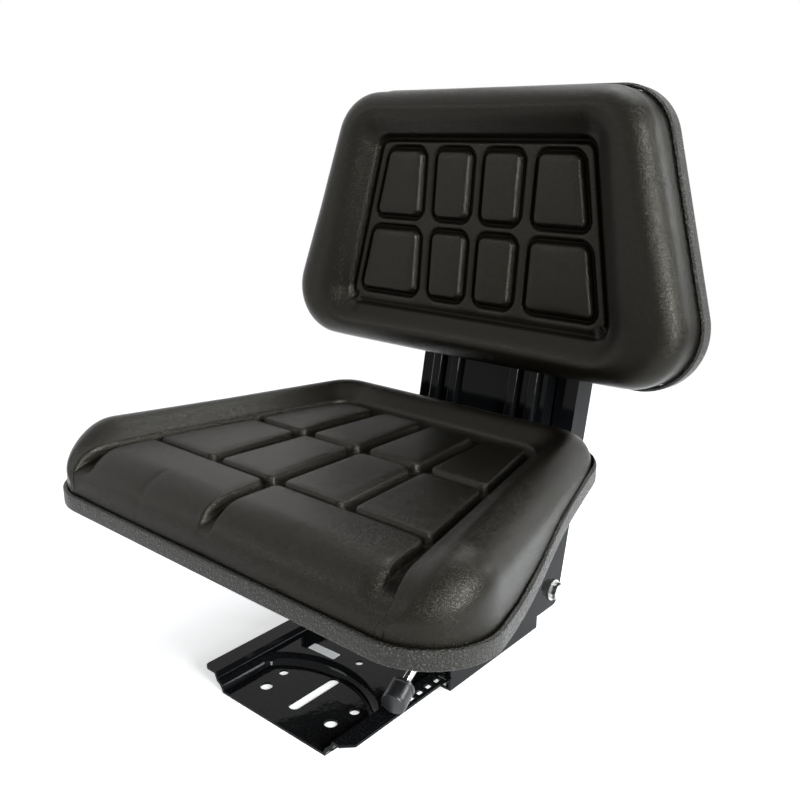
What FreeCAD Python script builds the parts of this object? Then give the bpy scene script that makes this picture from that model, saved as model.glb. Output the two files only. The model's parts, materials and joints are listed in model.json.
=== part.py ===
import FreeCAD, Part
import math
import os
from FreeCAD import Vector

# Tractor suspension seat: a slotted base plate, a latched fore and aft slide,
# a leaning roller mast with two springs and a damper, and a waffle-padded
# seat and backrest on one ribbed, J-shaped carriage panel.
# Frame: +Z up, the seat faces -Y, left and right are as seen from in front
# (right is +X). The origin is on the floor, midway between the base bolts.
# All sizes are in millimetres.

# Base plate, a pressed tray with a bay at each end
SHEET = 2.5
BASE_HALF_WIDTH = 95.0
BASE_HALF_LENGTH = 149.0
FLANGE_TOP = 19.0
PLATEAU_TOP = 12.0
BAY_INSET = 29.0
BAY_HALF_WIDTH = BASE_HALF_WIDTH - BAY_INSET
BAY_CORNER = 14.0
BAY_WALL_RUN = 9.0
BAY_APEX = -63.0
BAY_END_RADIUS = 92.0
FLANGE_CHAMFER = 10.0
OUTER_BOLT = (43.0, 116.5, 6.0)
INNER_BOLT = (47.4, 90.3, 4.75)
SLOT_CENTRE = 95.0
SLOT_LENGTH = 61.0
SLOT_HALF_WIDTH = 5.75
PLATEAU_HOLE = (7.0, 40.5, 4.0)

# Latch slots in the right flange, and the lever that drops into them
LATCH_PITCH = 12.5
LATCH_STEPS = 6
LATCH_INSET = 7.0
LATCH_X = BASE_HALF_WIDTH - LATCH_INSET
TOOTH_Y = 16.0
TOOTH_LENGTH = 6.4
TOOTH_CLEAR = 0.8
TOOTH_TAPER = 1.0
LEVER_THICK = 4.0
LEVER_PIVOT = (50.0, 38.0)
LEVER_PIN_R = 4.0
LEVER_EYE_R = 9.0
LEVER_SHOULDER = 3.0
LEVER_ROD_R = 4.0
KNOB_FACE = (-92.5, 32.5)
KNOB_RADIUS = 11.5
KNOB_LENGTH = 24.0
KNOB_TILT = 35.0

# Side frames: pressed trays that are cheek below and roller track above
FRAME_OVERHANG = 6.0
FRAME_OUTER = BASE_HALF_WIDTH + FRAME_OVERHANG
FRAME_SHEET = 3.0
TRACK_FLANGE = 24.0
CHEEK_FLANGE = 17.0
FRAME_FRONT = -17.0
FRAME_BOTTOM = 23.0
CHEEK_FRONT_TOP = 52.0
CHEEK_MID = (70.0, 62.0)
OPEN_RIM_END = 64.0
RAIL_BOTTOM = 10.0
RAIL_REAR = 133.0
RAIL_WIDTH = 16.0
RAIL_SHEET = 2.5
GLIDE_LENGTH = 24.0
GLIDE_CLEAR = 0.2
GLIDE_EDGE = 0.5
GLIDE_END = 1.0

# Mast frame: v runs up the mast and w square to it, towards the back
MAST_LEAN = 11.0
MAST_FOOT_Y = 153.0
MAST_HALF_DEPTH = 15.0
MAST_TOP = 335.0
TRACK_KNEE = 100.0
REAR_WEB = (60.0, 325.0)
WINDOW = (58.0, 110.0, 290.0)
CROSS_TOP = 55.0
CROSS_HEIGHT = 21.0
ANCHOR_V = 44.0
ANCHOR_R = 5.0
ANCHOR_HEAD_R = 9.2
ANCHOR_HEAD = 6.5
ANCHOR_TAIL = 12.0
ANCHOR_WASHER = (11.5, 2.0)
ANCHOR_NUT = (7.5, 5.5, 6.0)
TOP_PLATE = 4.0
INNER_BEND = 2.0
CROSSTUBE = (80.0, 38.0, 9.0)

# Rollers and carriage
TRAVEL = 50.0
ROLLER_V = (150.0, 290.0)
ROLLER_R = 11.7
ROLLER_WIDTH = 16.0
ROLLER_INSET = 21.5
ROLLER_INNER = FRAME_OUTER - ROLLER_INSET
PIN_R = 5.0
RUNNING = 0.05
PIN_COLLAR_R = 8.0
BRACKET_INSET = 9.5
BRACKET_X = ROLLER_INNER - BRACKET_INSET
BRACKET_SHEET = 4.0
PANEL_LIP = 6.0
PANEL_HALF = BRACKET_X + PANEL_LIP
PANEL_SHEET = 3.0
PANEL_W = -35.0
LEG_TOP = 155.0
LEG_FRONT = -60.0
LEG_CORNER = 18.0
BEND_R = 60.0
PANEL_KNEE_Z = 296.0
PANEL_TOP_Z = 436.0
RIB_INSETS = (38.0, 14.0)
RIB_WIDTH = 12.0
RIB_HEIGHT = 8.0
RIB_TOP_Z = 284.0
RIB_START_Y = 112.0

# Springs, damper and weight adjuster, all on the middle plane of the mast
CROSSBAR_V = 178.0
CROSSBAR_THICK = 10.0
SPRING_INSET = 28.0
SPRING_X = BRACKET_X - SPRING_INSET
SPRING_R = 9.2
WIRE_R = 1.9
SPRING_TURNS = 8.5
CUP_INNER = 11.5
CUP_WALL = 2.4
LOWER_CUP = 14.0
UPPER_CUP = 20.0
YOKE_V = 306.0
YOKE_THICK = 8.0
YOKE_TRAVEL = 6.0
DAMPER_R = 13.0
DAMPER_BORE = 10.2
DAMPER_TOP = 125.0
DAMPER_WALL = 4.0
ROD_R = 5.0
SPINDLE_R = 6.0
WEIGHT_KNOB_R = 22.0
WEIGHT_KNOB_HEIGHT = 22.0
WASHER = 2.0
SEAT_GAP = 0.3

# Seat in plan and from the side
SEAT_FRONT = -219.0
SEAT_REAR = 131.0
SEAT_HALF_AT = (242.0, -155.0)
SEAT_TAPER = 0.27
SEAT_FRONT_R = 60.0
SEAT_REAR_R = 48.0
TRIM_HEIGHT = 20.0
TRIM_THICK = 4.0
UNDER_SEAT = 100.0
TRIM_LINE = ((-232.0, 175.0), (-157.0, 172.5), (-107.0, 171.5), (-60.0, 179.0),
             (-10.0, 193.0), (50.0, 200.0), (145.0, 208.0))
PAN_SHEET = 2.0
PAN_FLAT_HALF = PANEL_HALF + 10.0
PAN_FLAT_Y = (-150.0, 96.0)
PAD_TOP = 230.0
GROOVE = 9.0
BOLSTER_TOP = 245.0
BOLSTER_FALL = (-70.0, -185.0)
FRONT_ROLL = 36.0
SIDE_ROLL = 24.0
SKIRT_GROOVE_END = 204.0
ROW_FRONTS = (-132.0, -27.0)
ROW_LENGTH = 94.0
WAFFLE_REAR = 78.0
PAD_CORNER = 7.0
PAD_EDGE = 3.5
CENTRE_GAP = 9.0
PAD_INNER_EDGE = (73.0, 0.091)
PAD_OUTER_START = (89.6, 0.074)
PAD_OUTER_EDGE = (162.6, 0.236)

# Backrest frame: v runs up its face, n forward from the groove plane
BACK_TILT = 5.0
BACK_POINT = (133.4, 337.6)
BACK_BOTTOM = (260.0, -54.0, 58.0)
BACK_TOP = (176.0, 219.0, 56.0)
BACK_BULGE = 25.0
BACK_ROLL = 23.0
BACK_REAR = 34.0
BACK_TRIM = 16.0
BACK_RECESS_BOTTOM = (162.0, -8.0)
BACK_RECESS_TOP = (127.0, 169.0)
RECESS_CORNER = 14.0
RECESS_FLARE = 9.0
BACK_PAD_HEIGHT = 8.0
BACK_LAND = 4.5
BACK_GROOVE = 3.5
BACK_ROWS = ((7.2, 74.7), (88.3, 156.5))
BACK_PAD_INNER = (8.2, 50.7)
BACK_PAD_OUTER = 68.9
BACK_PAD_EDGE = (146.0, 0.205)
PLATFORM = (PANEL_HALF + 8.0, -30.0, 98.0)
PLATFORM_SLOPE = 8.0
BOLT_R = 4.0
BOLT_HEAD_R = 6.5
BOLT_HEAD = 5.3
SEAT_BOLT_X = 55.0
SEAT_BOLT_ROWS = (-40.0, 70.0)
BACK_BOLT_X = 50.0
BACK_BOLT_ROWS = (10.0, 78.0)

OUT = 400.0


# Shape helpers

def on_floor(a, b):
    return Vector(a, b, 0)


def from_side(a, b):
    return Vector(0, a, b)


def from_front(a, b):
    return Vector(a, 0, b)


def rounded_wire(corners, place):
    """Closed outline through (a, b, radius) corners, each rounded by a tangent arc."""
    edges = []
    joints = []
    count = len(corners)
    for index, (a, b, radius) in enumerate(corners):
        here = Vector(a, b, 0)
        before = Vector(corners[index - 1][0], corners[index - 1][1], 0) - here
        after = Vector(corners[(index + 1) % count][0], corners[(index + 1) % count][1], 0) - here
        if radius <= 0:
            joints.append((here, None, here))
            continue
        before.normalize()
        after.normalize()
        half = before.getAngle(after) / 2
        reach = radius / math.tan(half)
        bisector = (before + after).normalize()
        middle = here + bisector * (radius / math.sin(half) - radius)
        joints.append((here + before * reach, middle, here + after * reach))
    for index, (start, middle, end) in enumerate(joints):
        if middle is not None:
            arc = [place(p.x, p.y) for p in (start, middle, end)]
            edges.append(Part.Arc(*arc).toShape())
        following = joints[(index + 1) % count][0]
        if (following - end).Length > 1e-6:
            edges.append(Part.makeLine(place(end.x, end.y), place(following.x, following.y)))
    return Part.Wire(Part.__sortEdges__(edges))


def flat_plate(corners, low, high):
    face = Part.Face(rounded_wire(corners, on_floor))
    face.translate(Vector(0, 0, low))
    return face.extrude(Vector(0, 0, high - low))


def side_plate(corners, left, right):
    face = Part.Face(rounded_wire(corners, from_side))
    face.translate(Vector(left, 0, 0))
    return face.extrude(Vector(right - left, 0, 0))


def block(x0, x1, y0, y1, z0, z1):
    return Part.makeBox(x1 - x0, y1 - y0, z1 - z0, Vector(x0, y0, z0))


def upright(x, y, z0, z1, radius):
    return Part.makeCylinder(radius, z1 - z0, Vector(x, y, z0), Vector(0, 0, 1))


def crosswise(y, z, x0, x1, radius):
    return Part.makeCylinder(radius, x1 - x0, Vector(x0, y, z), Vector(1, 0, 0))


def hexagon_crosswise(y, z, x0, x1, radius):
    points = []
    for turn in range(7):
        angle = math.radians(60 * turn)
        points.append(Vector(x0, y + radius * math.cos(angle), z + radius * math.sin(angle)))
    return Part.Face(Part.makePolygon(points)).extrude(Vector(x1 - x0, 0, 0))


def hexagon_upright(x, y, z0, z1, radius):
    points = []
    for turn in range(7):
        angle = math.radians(60 * turn)
        points.append(Vector(x + radius * math.cos(angle), y + radius * math.sin(angle), z0))
    return Part.Face(Part.makePolygon(points)).extrude(Vector(0, 0, z1 - z0))


def join(shapes):
    whole = shapes[0]
    for shape in shapes[1:]:
        whole = whole.fuse(shape)
    return whole.removeSplitter()


def mirrored(shape):
    return shape.mirror(Vector(0, 0, 0), Vector(1, 0, 0))


def pair(shape):
    return [shape, mirrored(shape)]


def loft(wires, ruled=True):
    return Part.makeLoft(wires, True, ruled)


def leaned(shape, lean, y, z):
    """Turn a shape built upright about the X axis and carry it to (y, z)."""
    copy = shape.copy()
    turn = FreeCAD.Rotation(Vector(1, 0, 0), -lean)
    copy.Placement = FreeCAD.Placement(Vector(0, y, z), turn).multiply(copy.Placement)
    return copy


def on_mast(shape):
    return leaned(shape, MAST_LEAN, MAST_FOOT_Y, 0)


def on_backrest(shape):
    return leaned(shape, BACK_TILT, *BACK_POINT)


def mast_point(w, v):
    """Side view (y, z) of a point given in the mast frame."""
    lean = math.radians(MAST_LEAN)
    y = MAST_FOOT_Y + w * math.cos(lean) + v * math.sin(lean)
    z = v * math.cos(lean) - w * math.sin(lean)
    return y, z


def mast_height(w, z):
    """How far up the mast the line at w passes the height z."""
    lean = math.radians(MAST_LEAN)
    return (z + w * math.sin(lean)) / math.cos(lean)


# Base plate

def bay_wire(grow, z):
    """Outline of the front bay, open past the front edge, grown all round."""
    half = BAY_HALF_WIDTH - BAY_CORNER
    radius = BAY_END_RADIUS - BAY_CORNER
    centre = BAY_APEX - BAY_END_RADIUS
    side = centre + math.sqrt(radius ** 2 - half ** 2)
    front = -BASE_HALF_LENGTH - OUT / 4
    arc = Part.Arc(Vector(half, side, 0), Vector(0, centre + radius, 0), Vector(-half, side, 0))
    edges = [Part.makeLine(Vector(-half, front, 0), Vector(half, front, 0)),
             Part.makeLine(Vector(half, front, 0), Vector(half, side, 0)),
             arc.toShape(),
             Part.makeLine(Vector(-half, side, 0), Vector(-half, front, 0))]
    wire = Part.Wire(edges).makeOffset2D(BAY_CORNER + grow, 0)
    wire.translate(Vector(0, 0, z))
    return wire


def bay(grow, low, high):
    """One bay as a solid: a floor outline that flares softly up to the plateau."""
    rise = high - low
    flare = ((0.0, 0.0), (0.3, 0.12), (0.72, 0.45), (1.0, 1.0))
    wires = [bay_wire(grow + BAY_WALL_RUN * run, low + rise * up) for up, run in flare]
    return loft(wires, ruled=False)


def tray_section(half_low, half_high, low, high):
    corners = [(-half_low, low, 2), (half_low, low, 2), (half_high, high, 0), (-half_high, high, 0)]
    face = Part.Face(rounded_wire(corners, from_front))
    face.translate(Vector(0, -OUT / 2, 0))
    return face.extrude(Vector(0, OUT, 0))


def latch_rows():
    return [TOOTH_Y + LATCH_PITCH * step for step in range(-LATCH_STEPS, LATCH_STEPS + 1)]


def base_plate():
    chamfered = [(BASE_HALF_WIDTH, BASE_HALF_LENGTH, 6), (-BASE_HALF_WIDTH, BASE_HALF_LENGTH, 6),
                 (-BASE_HALF_WIDTH, -BASE_HALF_LENGTH, 6),
                 (BASE_HALF_WIDTH - FLANGE_CHAMFER, -BASE_HALF_LENGTH, 2),
                 (BASE_HALF_WIDTH, -BASE_HALF_LENGTH + FLANGE_CHAMFER, 2)]
    sheet_edge = flat_plate(chamfered, 0, FLANGE_TOP)
    wall_top = BAY_HALF_WIDTH + BAY_WALL_RUN
    flange = flat_plate(chamfered, FLANGE_TOP - SHEET, FLANGE_TOP)
    tray = tray_section(wall_top + SHEET / 2, wall_top + SHEET + 2,
                        PLATEAU_TOP - SHEET, FLANGE_TOP - SHEET)
    front_bay = bay(SHEET * 0.8, 0, PLATEAU_TOP - SHEET)
    rear_bay = front_bay.mirror(Vector(0, 0, 0), Vector(0, 1, 0))
    outer = join([flange, tray.common(sheet_edge), front_bay.common(sheet_edge),
                  rear_bay.common(sheet_edge)])
    hollow = bay(0, SHEET, PLATEAU_TOP)
    trough = tray_section(wall_top, wall_top + 2, PLATEAU_TOP, FLANGE_TOP)
    plate = outer.cut([hollow, hollow.mirror(Vector(0, 0, 0), Vector(0, 1, 0)), trough])
    holes = []
    for x, y, radius in (OUTER_BOLT, INNER_BOLT):
        for side in (-1, 1):
            for end in (-1, 1):
                holes.append(upright(side * x, end * y, -1, FLANGE_TOP, radius))
    straight = SLOT_LENGTH / 2 - SLOT_HALF_WIDTH
    for end in (-1, 1):
        middle = end * SLOT_CENTRE
        long_hole = [(-SLOT_HALF_WIDTH, middle - straight - SLOT_HALF_WIDTH, SLOT_HALF_WIDTH - 0.01),
                     (SLOT_HALF_WIDTH, middle - straight - SLOT_HALF_WIDTH, SLOT_HALF_WIDTH - 0.01),
                     (SLOT_HALF_WIDTH, middle + straight + SLOT_HALF_WIDTH, SLOT_HALF_WIDTH - 0.01),
                     (-SLOT_HALF_WIDTH, middle + straight + SLOT_HALF_WIDTH, SLOT_HALF_WIDTH - 0.01)]
        holes.append(flat_plate(long_hole, -1, FLANGE_TOP))
        holes.append(upright(PLATEAU_HOLE[0], end * PLATEAU_HOLE[1], -1, FLANGE_TOP, PLATEAU_HOLE[2]))
    half_slot = TOOTH_LENGTH / 2 + TOOTH_CLEAR
    for y in latch_rows():
        holes.append(block(LATCH_X - LEVER_THICK / 2 - TOOTH_CLEAR, LATCH_X + LEVER_THICK / 2 + TOOTH_CLEAR,
                           y - half_slot, y + half_slot, 0, FLANGE_TOP + 1))
    return plate.cut(holes)


# Slide frame

def side_outline():
    """Side view of a side frame: cheek, sloping shoulder and leaning track."""
    rear_foot = mast_point(MAST_HALF_DEPTH, mast_height(MAST_HALF_DEPTH, FRAME_BOTTOM))
    knee = mast_point(-MAST_HALF_DEPTH, mast_height(-MAST_HALF_DEPTH, TRACK_KNEE))
    return [(FRAME_FRONT, FRAME_BOTTOM, 4),
            (*rear_foot, 12),
            (*mast_point(MAST_HALF_DEPTH, MAST_TOP), FRAME_SHEET + INNER_BEND),
            (*mast_point(-MAST_HALF_DEPTH, MAST_TOP), FRAME_SHEET + INNER_BEND),
            (*knee, 22),
            (*CHEEK_MID, 30),
            (FRAME_FRONT, CHEEK_FRONT_TOP, 8)]


def side_frame():
    """The right side frame, pressed from one sheet, its rim open over the latch."""
    outline = rounded_wire(side_outline(), from_side)
    web = FRAME_OUTER - FRAME_SHEET
    solid = Part.Face(outline)
    solid.translate(Vector(FRAME_OUTER - TRACK_FLANGE, 0, 0))
    solid = solid.extrude(Vector(TRACK_FLANGE, 0, 0))
    inside = Part.Face(outline.makeOffset2D(-FRAME_SHEET, 0)).extrude(Vector(web, 0, 0))
    low_flange = block(0, FRAME_OUTER - CHEEK_FLANGE, -OUT, OUT, 0, TRACK_KNEE - 12)
    open_rim = block(0, web, -OUT, OPEN_RIM_END, FRAME_BOTTOM + FRAME_SHEET, OUT)
    anchor = mast_point(0, ANCHOR_V)
    return solid.cut([inside, low_flange, open_rim, crosswise(*anchor, 0, OUT, ANCHOR_R + 0.2)])


def slide_rail():
    """The right rail: a channel that wraps the edge of the base flange."""
    inner = FRAME_OUTER - RAIL_WIDTH
    rail = block(inner, FRAME_OUTER, FRAME_FRONT, RAIL_REAR, RAIL_BOTTOM, FRAME_BOTTOM)
    rail = rail.cut(block(inner - 1, FRAME_OUTER - RAIL_SHEET, FRAME_FRONT - 1, RAIL_REAR + 1,
                          RAIL_BOTTOM + RAIL_SHEET, FRAME_BOTTOM - RAIL_SHEET))
    return rail


def tooth_window():
    """The gap in the right rail and cheek flange that the latch tooth passes."""
    half = TOOTH_LENGTH / 2 + 3
    return block(0, LATCH_X + LEVER_THICK / 2 + 1.5, TOOTH_Y - half, TOOTH_Y + half,
                 FRAME_BOTTOM - RAIL_SHEET - 1, FRAME_BOTTOM + FRAME_SHEET + 1)


def glides(low, high):
    """Four nylon strips of one kind, two in each rail, near its ends."""
    strips = []
    for start in (FRAME_FRONT + GLIDE_END, RAIL_REAR - GLIDE_END - GLIDE_LENGTH):
        strip = block(FRAME_OUTER - RAIL_WIDTH + GLIDE_END, BASE_HALF_WIDTH - GLIDE_EDGE,
                      start, start + GLIDE_LENGTH, low, high)
        strips += pair(strip)
    return Part.makeCompound(strips)


def upper_glides():
    return glides(FLANGE_TOP + GLIDE_CLEAR, FRAME_BOTTOM - RAIL_SHEET)


def lower_glides():
    return glides(RAIL_BOTTOM + RAIL_SHEET, FLANGE_TOP - SHEET - GLIDE_CLEAR)


def front_crosstube():
    y, z, radius = CROSSTUBE
    web = FRAME_OUTER - FRAME_SHEET
    return crosswise(y, z, -web, web, radius).cut(crosswise(y, z, -web, web, radius - 2))


def lower_crossmember():
    """Folded channel between the cheeks, open below, with drilled end tabs."""
    half = MAST_HALF_DEPTH - FRAME_SHEET - SEAT_GAP
    web = FRAME_OUTER - FRAME_SHEET
    bar = block(-web, web, -half, half, CROSS_TOP - CROSS_HEIGHT, CROSS_TOP)
    hollow = block(-web + 6, web - 6, -half + FRAME_SHEET, half - FRAME_SHEET,
                   CROSS_TOP - CROSS_HEIGHT - 1, CROSS_TOP - FRAME_SHEET)
    bar = bar.cut([hollow, crosswise(0, ANCHOR_V, -web, web, ANCHOR_R + 0.2)])
    return on_mast(bar)


def rear_web():
    """Back sheet over both tracks, with a window onto the springs."""
    half, low, high = WINDOW
    reach = FRAME_OUTER - 4
    outline = [(-reach, REAR_WEB[0], 8), (reach, REAR_WEB[0], 8),
               (reach, REAR_WEB[1], 8), (-reach, REAR_WEB[1], 8)]
    window = [(-half, low, 16), (half, low, 16), (half, high, 16), (-half, high, 16)]
    sheet = Part.Face(rounded_wire(outline, from_front)).extrude(Vector(0, FRAME_SHEET, 0))
    gap = Part.Face(rounded_wire(window, from_front)).extrude(Vector(0, FRAME_SHEET, 0))
    sheet = sheet.cut(gap)
    sheet.translate(Vector(0, MAST_HALF_DEPTH, 0))
    return on_mast(sheet)


def top_plate_low():
    return MAST_TOP - FRAME_SHEET - TOP_PLATE


def mast_top_plate():
    half = MAST_HALF_DEPTH - FRAME_SHEET - INNER_BEND
    web = FRAME_OUTER - FRAME_SHEET
    low = top_plate_low()
    plate = block(-web, web, -half, half, low, low + TOP_PLATE)
    return on_mast(plate.cut(upright(0, 0, low, low + TOP_PLATE, SPINDLE_R + RUNNING)))


def track_stops(low, high):
    """Two rubber blocks, one in each track, that end the rollers' travel."""
    half = MAST_HALF_DEPTH - FRAME_SHEET - 1
    stop = block(ROLLER_INNER, ROLLER_INNER + ROLLER_WIDTH, -half, half, low, high)
    along = [edge for edge in stop.Edges if abs(edge.tangentAt(0).z) > 0.9]
    return Part.makeCompound([on_mast(s) for s in pair(stop.makeFillet(3, along))])


def bump_stops():
    return track_stops(CROSS_TOP, ROLLER_V[0] - TRAVEL - ROLLER_R - SEAT_GAP)


def rebound_stops():
    return track_stops(ROLLER_V[1] + ROLLER_R + SEAT_GAP, top_plate_low())


def anchor_bolts():
    y, z = mast_point(0, ANCHOR_V)
    tail = FRAME_OUTER - FRAME_SHEET - ANCHOR_TAIL
    seat = FRAME_OUTER + ANCHOR_WASHER[1]
    bolt = join([crosswise(y, z, tail, seat, ANCHOR_R),
                 hexagon_crosswise(y, z, seat, seat + ANCHOR_HEAD, ANCHOR_HEAD_R)])
    return Part.makeCompound(pair(bolt))


def anchor_washers():
    y, z = mast_point(0, ANCHOR_V)
    radius, thick = ANCHOR_WASHER
    ring = crosswise(y, z, FRAME_OUTER, FRAME_OUTER + thick, radius)
    bore = crosswise(y, z, FRAME_OUTER, FRAME_OUTER + thick, ANCHOR_R + RUNNING)
    return Part.makeCompound(pair(ring.cut(bore)))


def anchor_nuts():
    y, z = mast_point(0, ANCHOR_V)
    radius, thick, inset = ANCHOR_NUT
    inner = FRAME_OUTER - FRAME_SHEET - inset
    nut = hexagon_crosswise(y, z, inner - thick, inner, radius)
    bore = crosswise(y, z, inner - thick - 1, inner, ANCHOR_R + RUNNING)
    return Part.makeCompound(pair(nut.cut(bore)))


def damper_body():
    """Damper cylinder, closed below, with a gland round the rod above."""
    tube = upright(0, 0, CROSS_TOP, DAMPER_TOP, DAMPER_R)
    bore = upright(0, 0, CROSS_TOP + DAMPER_WALL, DAMPER_TOP - DAMPER_WALL, DAMPER_BORE)
    gland = upright(0, 0, DAMPER_TOP - DAMPER_WALL, DAMPER_TOP, ROD_R + RUNNING)
    return on_mast(tube.cut([bore, gland]))


# Latch lever

def lever_inner():
    return LATCH_X - LEVER_THICK / 2


def lever_outer():
    return LATCH_X + LEVER_THICK / 2


def rod_centre():
    return lever_outer() + LEVER_ROD_R - 0.6


def latch_pivot():
    """Shoulder bolt through the right cheek that the lever turns on."""
    y, z = LEVER_PIVOT
    web = FRAME_OUTER - FRAME_SHEET
    shoulder = crosswise(y, z, lever_outer() + SEAT_GAP, web, LEVER_PIN_R + LEVER_SHOULDER)
    shank = crosswise(y, z, lever_inner() - 7, FRAME_OUTER, LEVER_PIN_R)
    head = hexagon_crosswise(y, z, FRAME_OUTER, FRAME_OUTER + 5, 7.5)
    return join([shoulder, shank, head])


def latch_nut():
    y, z = LEVER_PIVOT
    high = lever_inner() - SEAT_GAP
    nut = hexagon_crosswise(y, z, high - 6, high, 7.5)
    return nut.cut(crosswise(y, z, high - 6, high, LEVER_PIN_R + RUNNING))


def lever_path():
    """Side view of the rod: back of the plate, over the rail and down to the knob."""
    tilt = math.radians(KNOB_TILT)
    reach = KNOB_LENGTH + 12
    bend = (KNOB_FACE[0] + reach * math.cos(tilt), KNOB_FACE[1] + reach * math.sin(tilt))
    return bend, (LEVER_PIVOT[0] - 30, bend[1])


def latch_lever():
    """Pivoted plate with its tooth, and the round rod that carries the knob."""
    y, z = LEVER_PIVOT
    bend, tail = lever_path()
    tooth = TOOTH_LENGTH / 2
    tip = tooth - TOOTH_TAPER
    low = FLANGE_TOP - SHEET - 0.5
    outline = [(TOOTH_Y - tip, low, 1), (TOOTH_Y + tip, low, 1),
               (TOOTH_Y + tooth, z - LEVER_EYE_R, 3), (y, z - LEVER_EYE_R, LEVER_EYE_R - 0.5),
               (y + LEVER_EYE_R, z, LEVER_EYE_R - 1.5), (y, z + LEVER_EYE_R, 6),
               (tail[0], tail[1] + LEVER_ROD_R, 4),
               (TOOTH_Y - tooth - 18, tail[1] + LEVER_ROD_R, 4), (TOOTH_Y - tooth - 18, z, 4),
               (TOOTH_Y - tooth, z - LEVER_EYE_R, 3)]
    plate = side_plate(outline, lever_inner(), lever_outer())
    plate = plate.cut(crosswise(y, z, 0, OUT, LEVER_PIN_R + RUNNING))
    tilt = math.radians(KNOB_TILT)
    start = Vector(rod_centre(), *tail)
    corner = Vector(rod_centre(), *bend)
    end = Vector(rod_centre(), KNOB_FACE[0] + 6 * math.cos(tilt), KNOB_FACE[1] + 6 * math.sin(tilt))
    back = corner - start
    down = end - corner
    straight = Part.makeCylinder(LEVER_ROD_R, back.Length, start, back)
    sloped = Part.makeCylinder(LEVER_ROD_R, down.Length, corner, down)
    return join([plate, straight, Part.makeSphere(LEVER_ROD_R, corner), sloped])


def latch_knob():
    """Moulded grip, domed at the front, pushed over the end of the rod."""
    r = KNOB_RADIUS
    points = [Vector(0, 0, 0), Vector(r - 3, 0, 0)]
    rim = Part.Arc(Vector(r - 3, 0, 0), Vector(r - 0.9, 0, 0.9), Vector(r, 0, 3)).toShape()
    side = Part.makePolygon([Vector(r, 0, 3), Vector(r, 0, KNOB_LENGTH - 7),
                             Vector(r - 4.5, 0, KNOB_LENGTH), Vector(0, 0, KNOB_LENGTH),
                             Vector(0, 0, 0)])
    wire = Part.Wire([Part.makeLine(*points), rim] + side.Edges)
    grip = Part.Face(wire).revolve(Vector(0, 0, 0), Vector(0, 0, 1), 360)
    bore = upright(0, 0, 6 - SEAT_GAP, KNOB_LENGTH, LEVER_ROD_R + RUNNING)
    grip = grip.cut(bore)
    grip.Placement = FreeCAD.Placement(Vector(rod_centre(), *KNOB_FACE),
                                       FreeCAD.Rotation(Vector(1, 0, 0), KNOB_TILT - 90))
    return grip


# Weight adjuster

def weight_spindle():
    thrust = top_plate_low() + TOP_PLATE + SEAT_GAP + WASHER
    return on_mast(upright(0, 0, YOKE_V - 14, thrust + WEIGHT_KNOB_HEIGHT - 5, SPINDLE_R))


def weight_washer():
    low = top_plate_low() + TOP_PLATE + SEAT_GAP / 2
    ring = upright(0, 0, low, low + WASHER, SPINDLE_R + 7)
    return on_mast(ring.cut(upright(0, 0, low, low + WASHER, SPINDLE_R + RUNNING)))


def weight_knob():
    """Lobed hand knob on top of the spindle."""
    low = top_plate_low() + TOP_PLATE + SEAT_GAP + WASHER
    knob = upright(0, 0, low, low + WEIGHT_KNOB_HEIGHT, WEIGHT_KNOB_R)
    rims = [edge for edge in knob.Edges if edge.BoundBox.ZLength < 0.01]
    knob = knob.makeFillet(4, rims)
    scallops = []
    for lobe in range(6):
        angle = math.radians(60 * lobe)
        reach = WEIGHT_KNOB_R + 5
        scallops.append(upright(reach * math.cos(angle), reach * math.sin(angle),
                                low - 1, low + WEIGHT_KNOB_HEIGHT + 1, 9))
    bore = upright(0, 0, low - 1, low + WEIGHT_KNOB_HEIGHT - 5, SPINDLE_R + RUNNING)
    return on_mast(knob.cut(scallops + [bore]))


def cup(x, low, high):
    outer = upright(x, 0, low, high, CUP_INNER + CUP_WALL)
    return outer.cut(upright(x, 0, low, high, CUP_INNER))


def spring_yoke():
    """Bar with a threaded boss and two sleeves over the tops of the springs."""
    half = CUP_INNER + CUP_WALL
    outline = [(-SPRING_X - half, -half + 1, 8), (SPRING_X + half, -half + 1, 8),
               (SPRING_X + half, half - 1, 8), (-SPRING_X - half, half - 1, 8)]
    bar = flat_plate(outline, YOKE_V, YOKE_V + YOKE_THICK)
    boss = upright(0, 0, YOKE_V - 8, YOKE_V, SPINDLE_R + 4)
    cups = [cup(side * SPRING_X, YOKE_V - UPPER_CUP, YOKE_V) for side in (-1, 1)]
    whole = join([bar, boss] + cups)
    return on_mast(whole.cut(upright(0, 0, YOKE_V - 9, YOKE_V + YOKE_THICK, SPINDLE_R + RUNNING)))


def spring_ends():
    return CROSSBAR_V + CROSSBAR_THICK + SEAT_GAP, YOKE_V - YOKE_TRAVEL - 0.5


def coil_spring(side):
    """One suspension spring, a round wire wound on the middle plane."""
    low, high = spring_ends()
    rise = high - low - 2 * WIRE_R
    pitch = rise / SPRING_TURNS
    path = Part.Wire(Part.makeHelix(pitch, rise, SPRING_R))
    start = Vector(SPRING_R, 0, 0)
    section = Part.Wire(Part.Circle(start, Vector(0, 1, 0), WIRE_R).toShape())
    coil = path.makePipeShell([section], True, True)
    coil.translate(Vector(side * SPRING_X, 0, low + WIRE_R))
    return on_mast(coil)


# Carriage

def panel_bend():
    """Centre of the panel's bend, and where its arc meets the leaning front face."""
    centre_w = PANEL_W - BEND_R
    centre_z = LEG_TOP + BEND_R
    v = mast_height(centre_w, centre_z)
    return mast_point(centre_w, v), v


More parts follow.
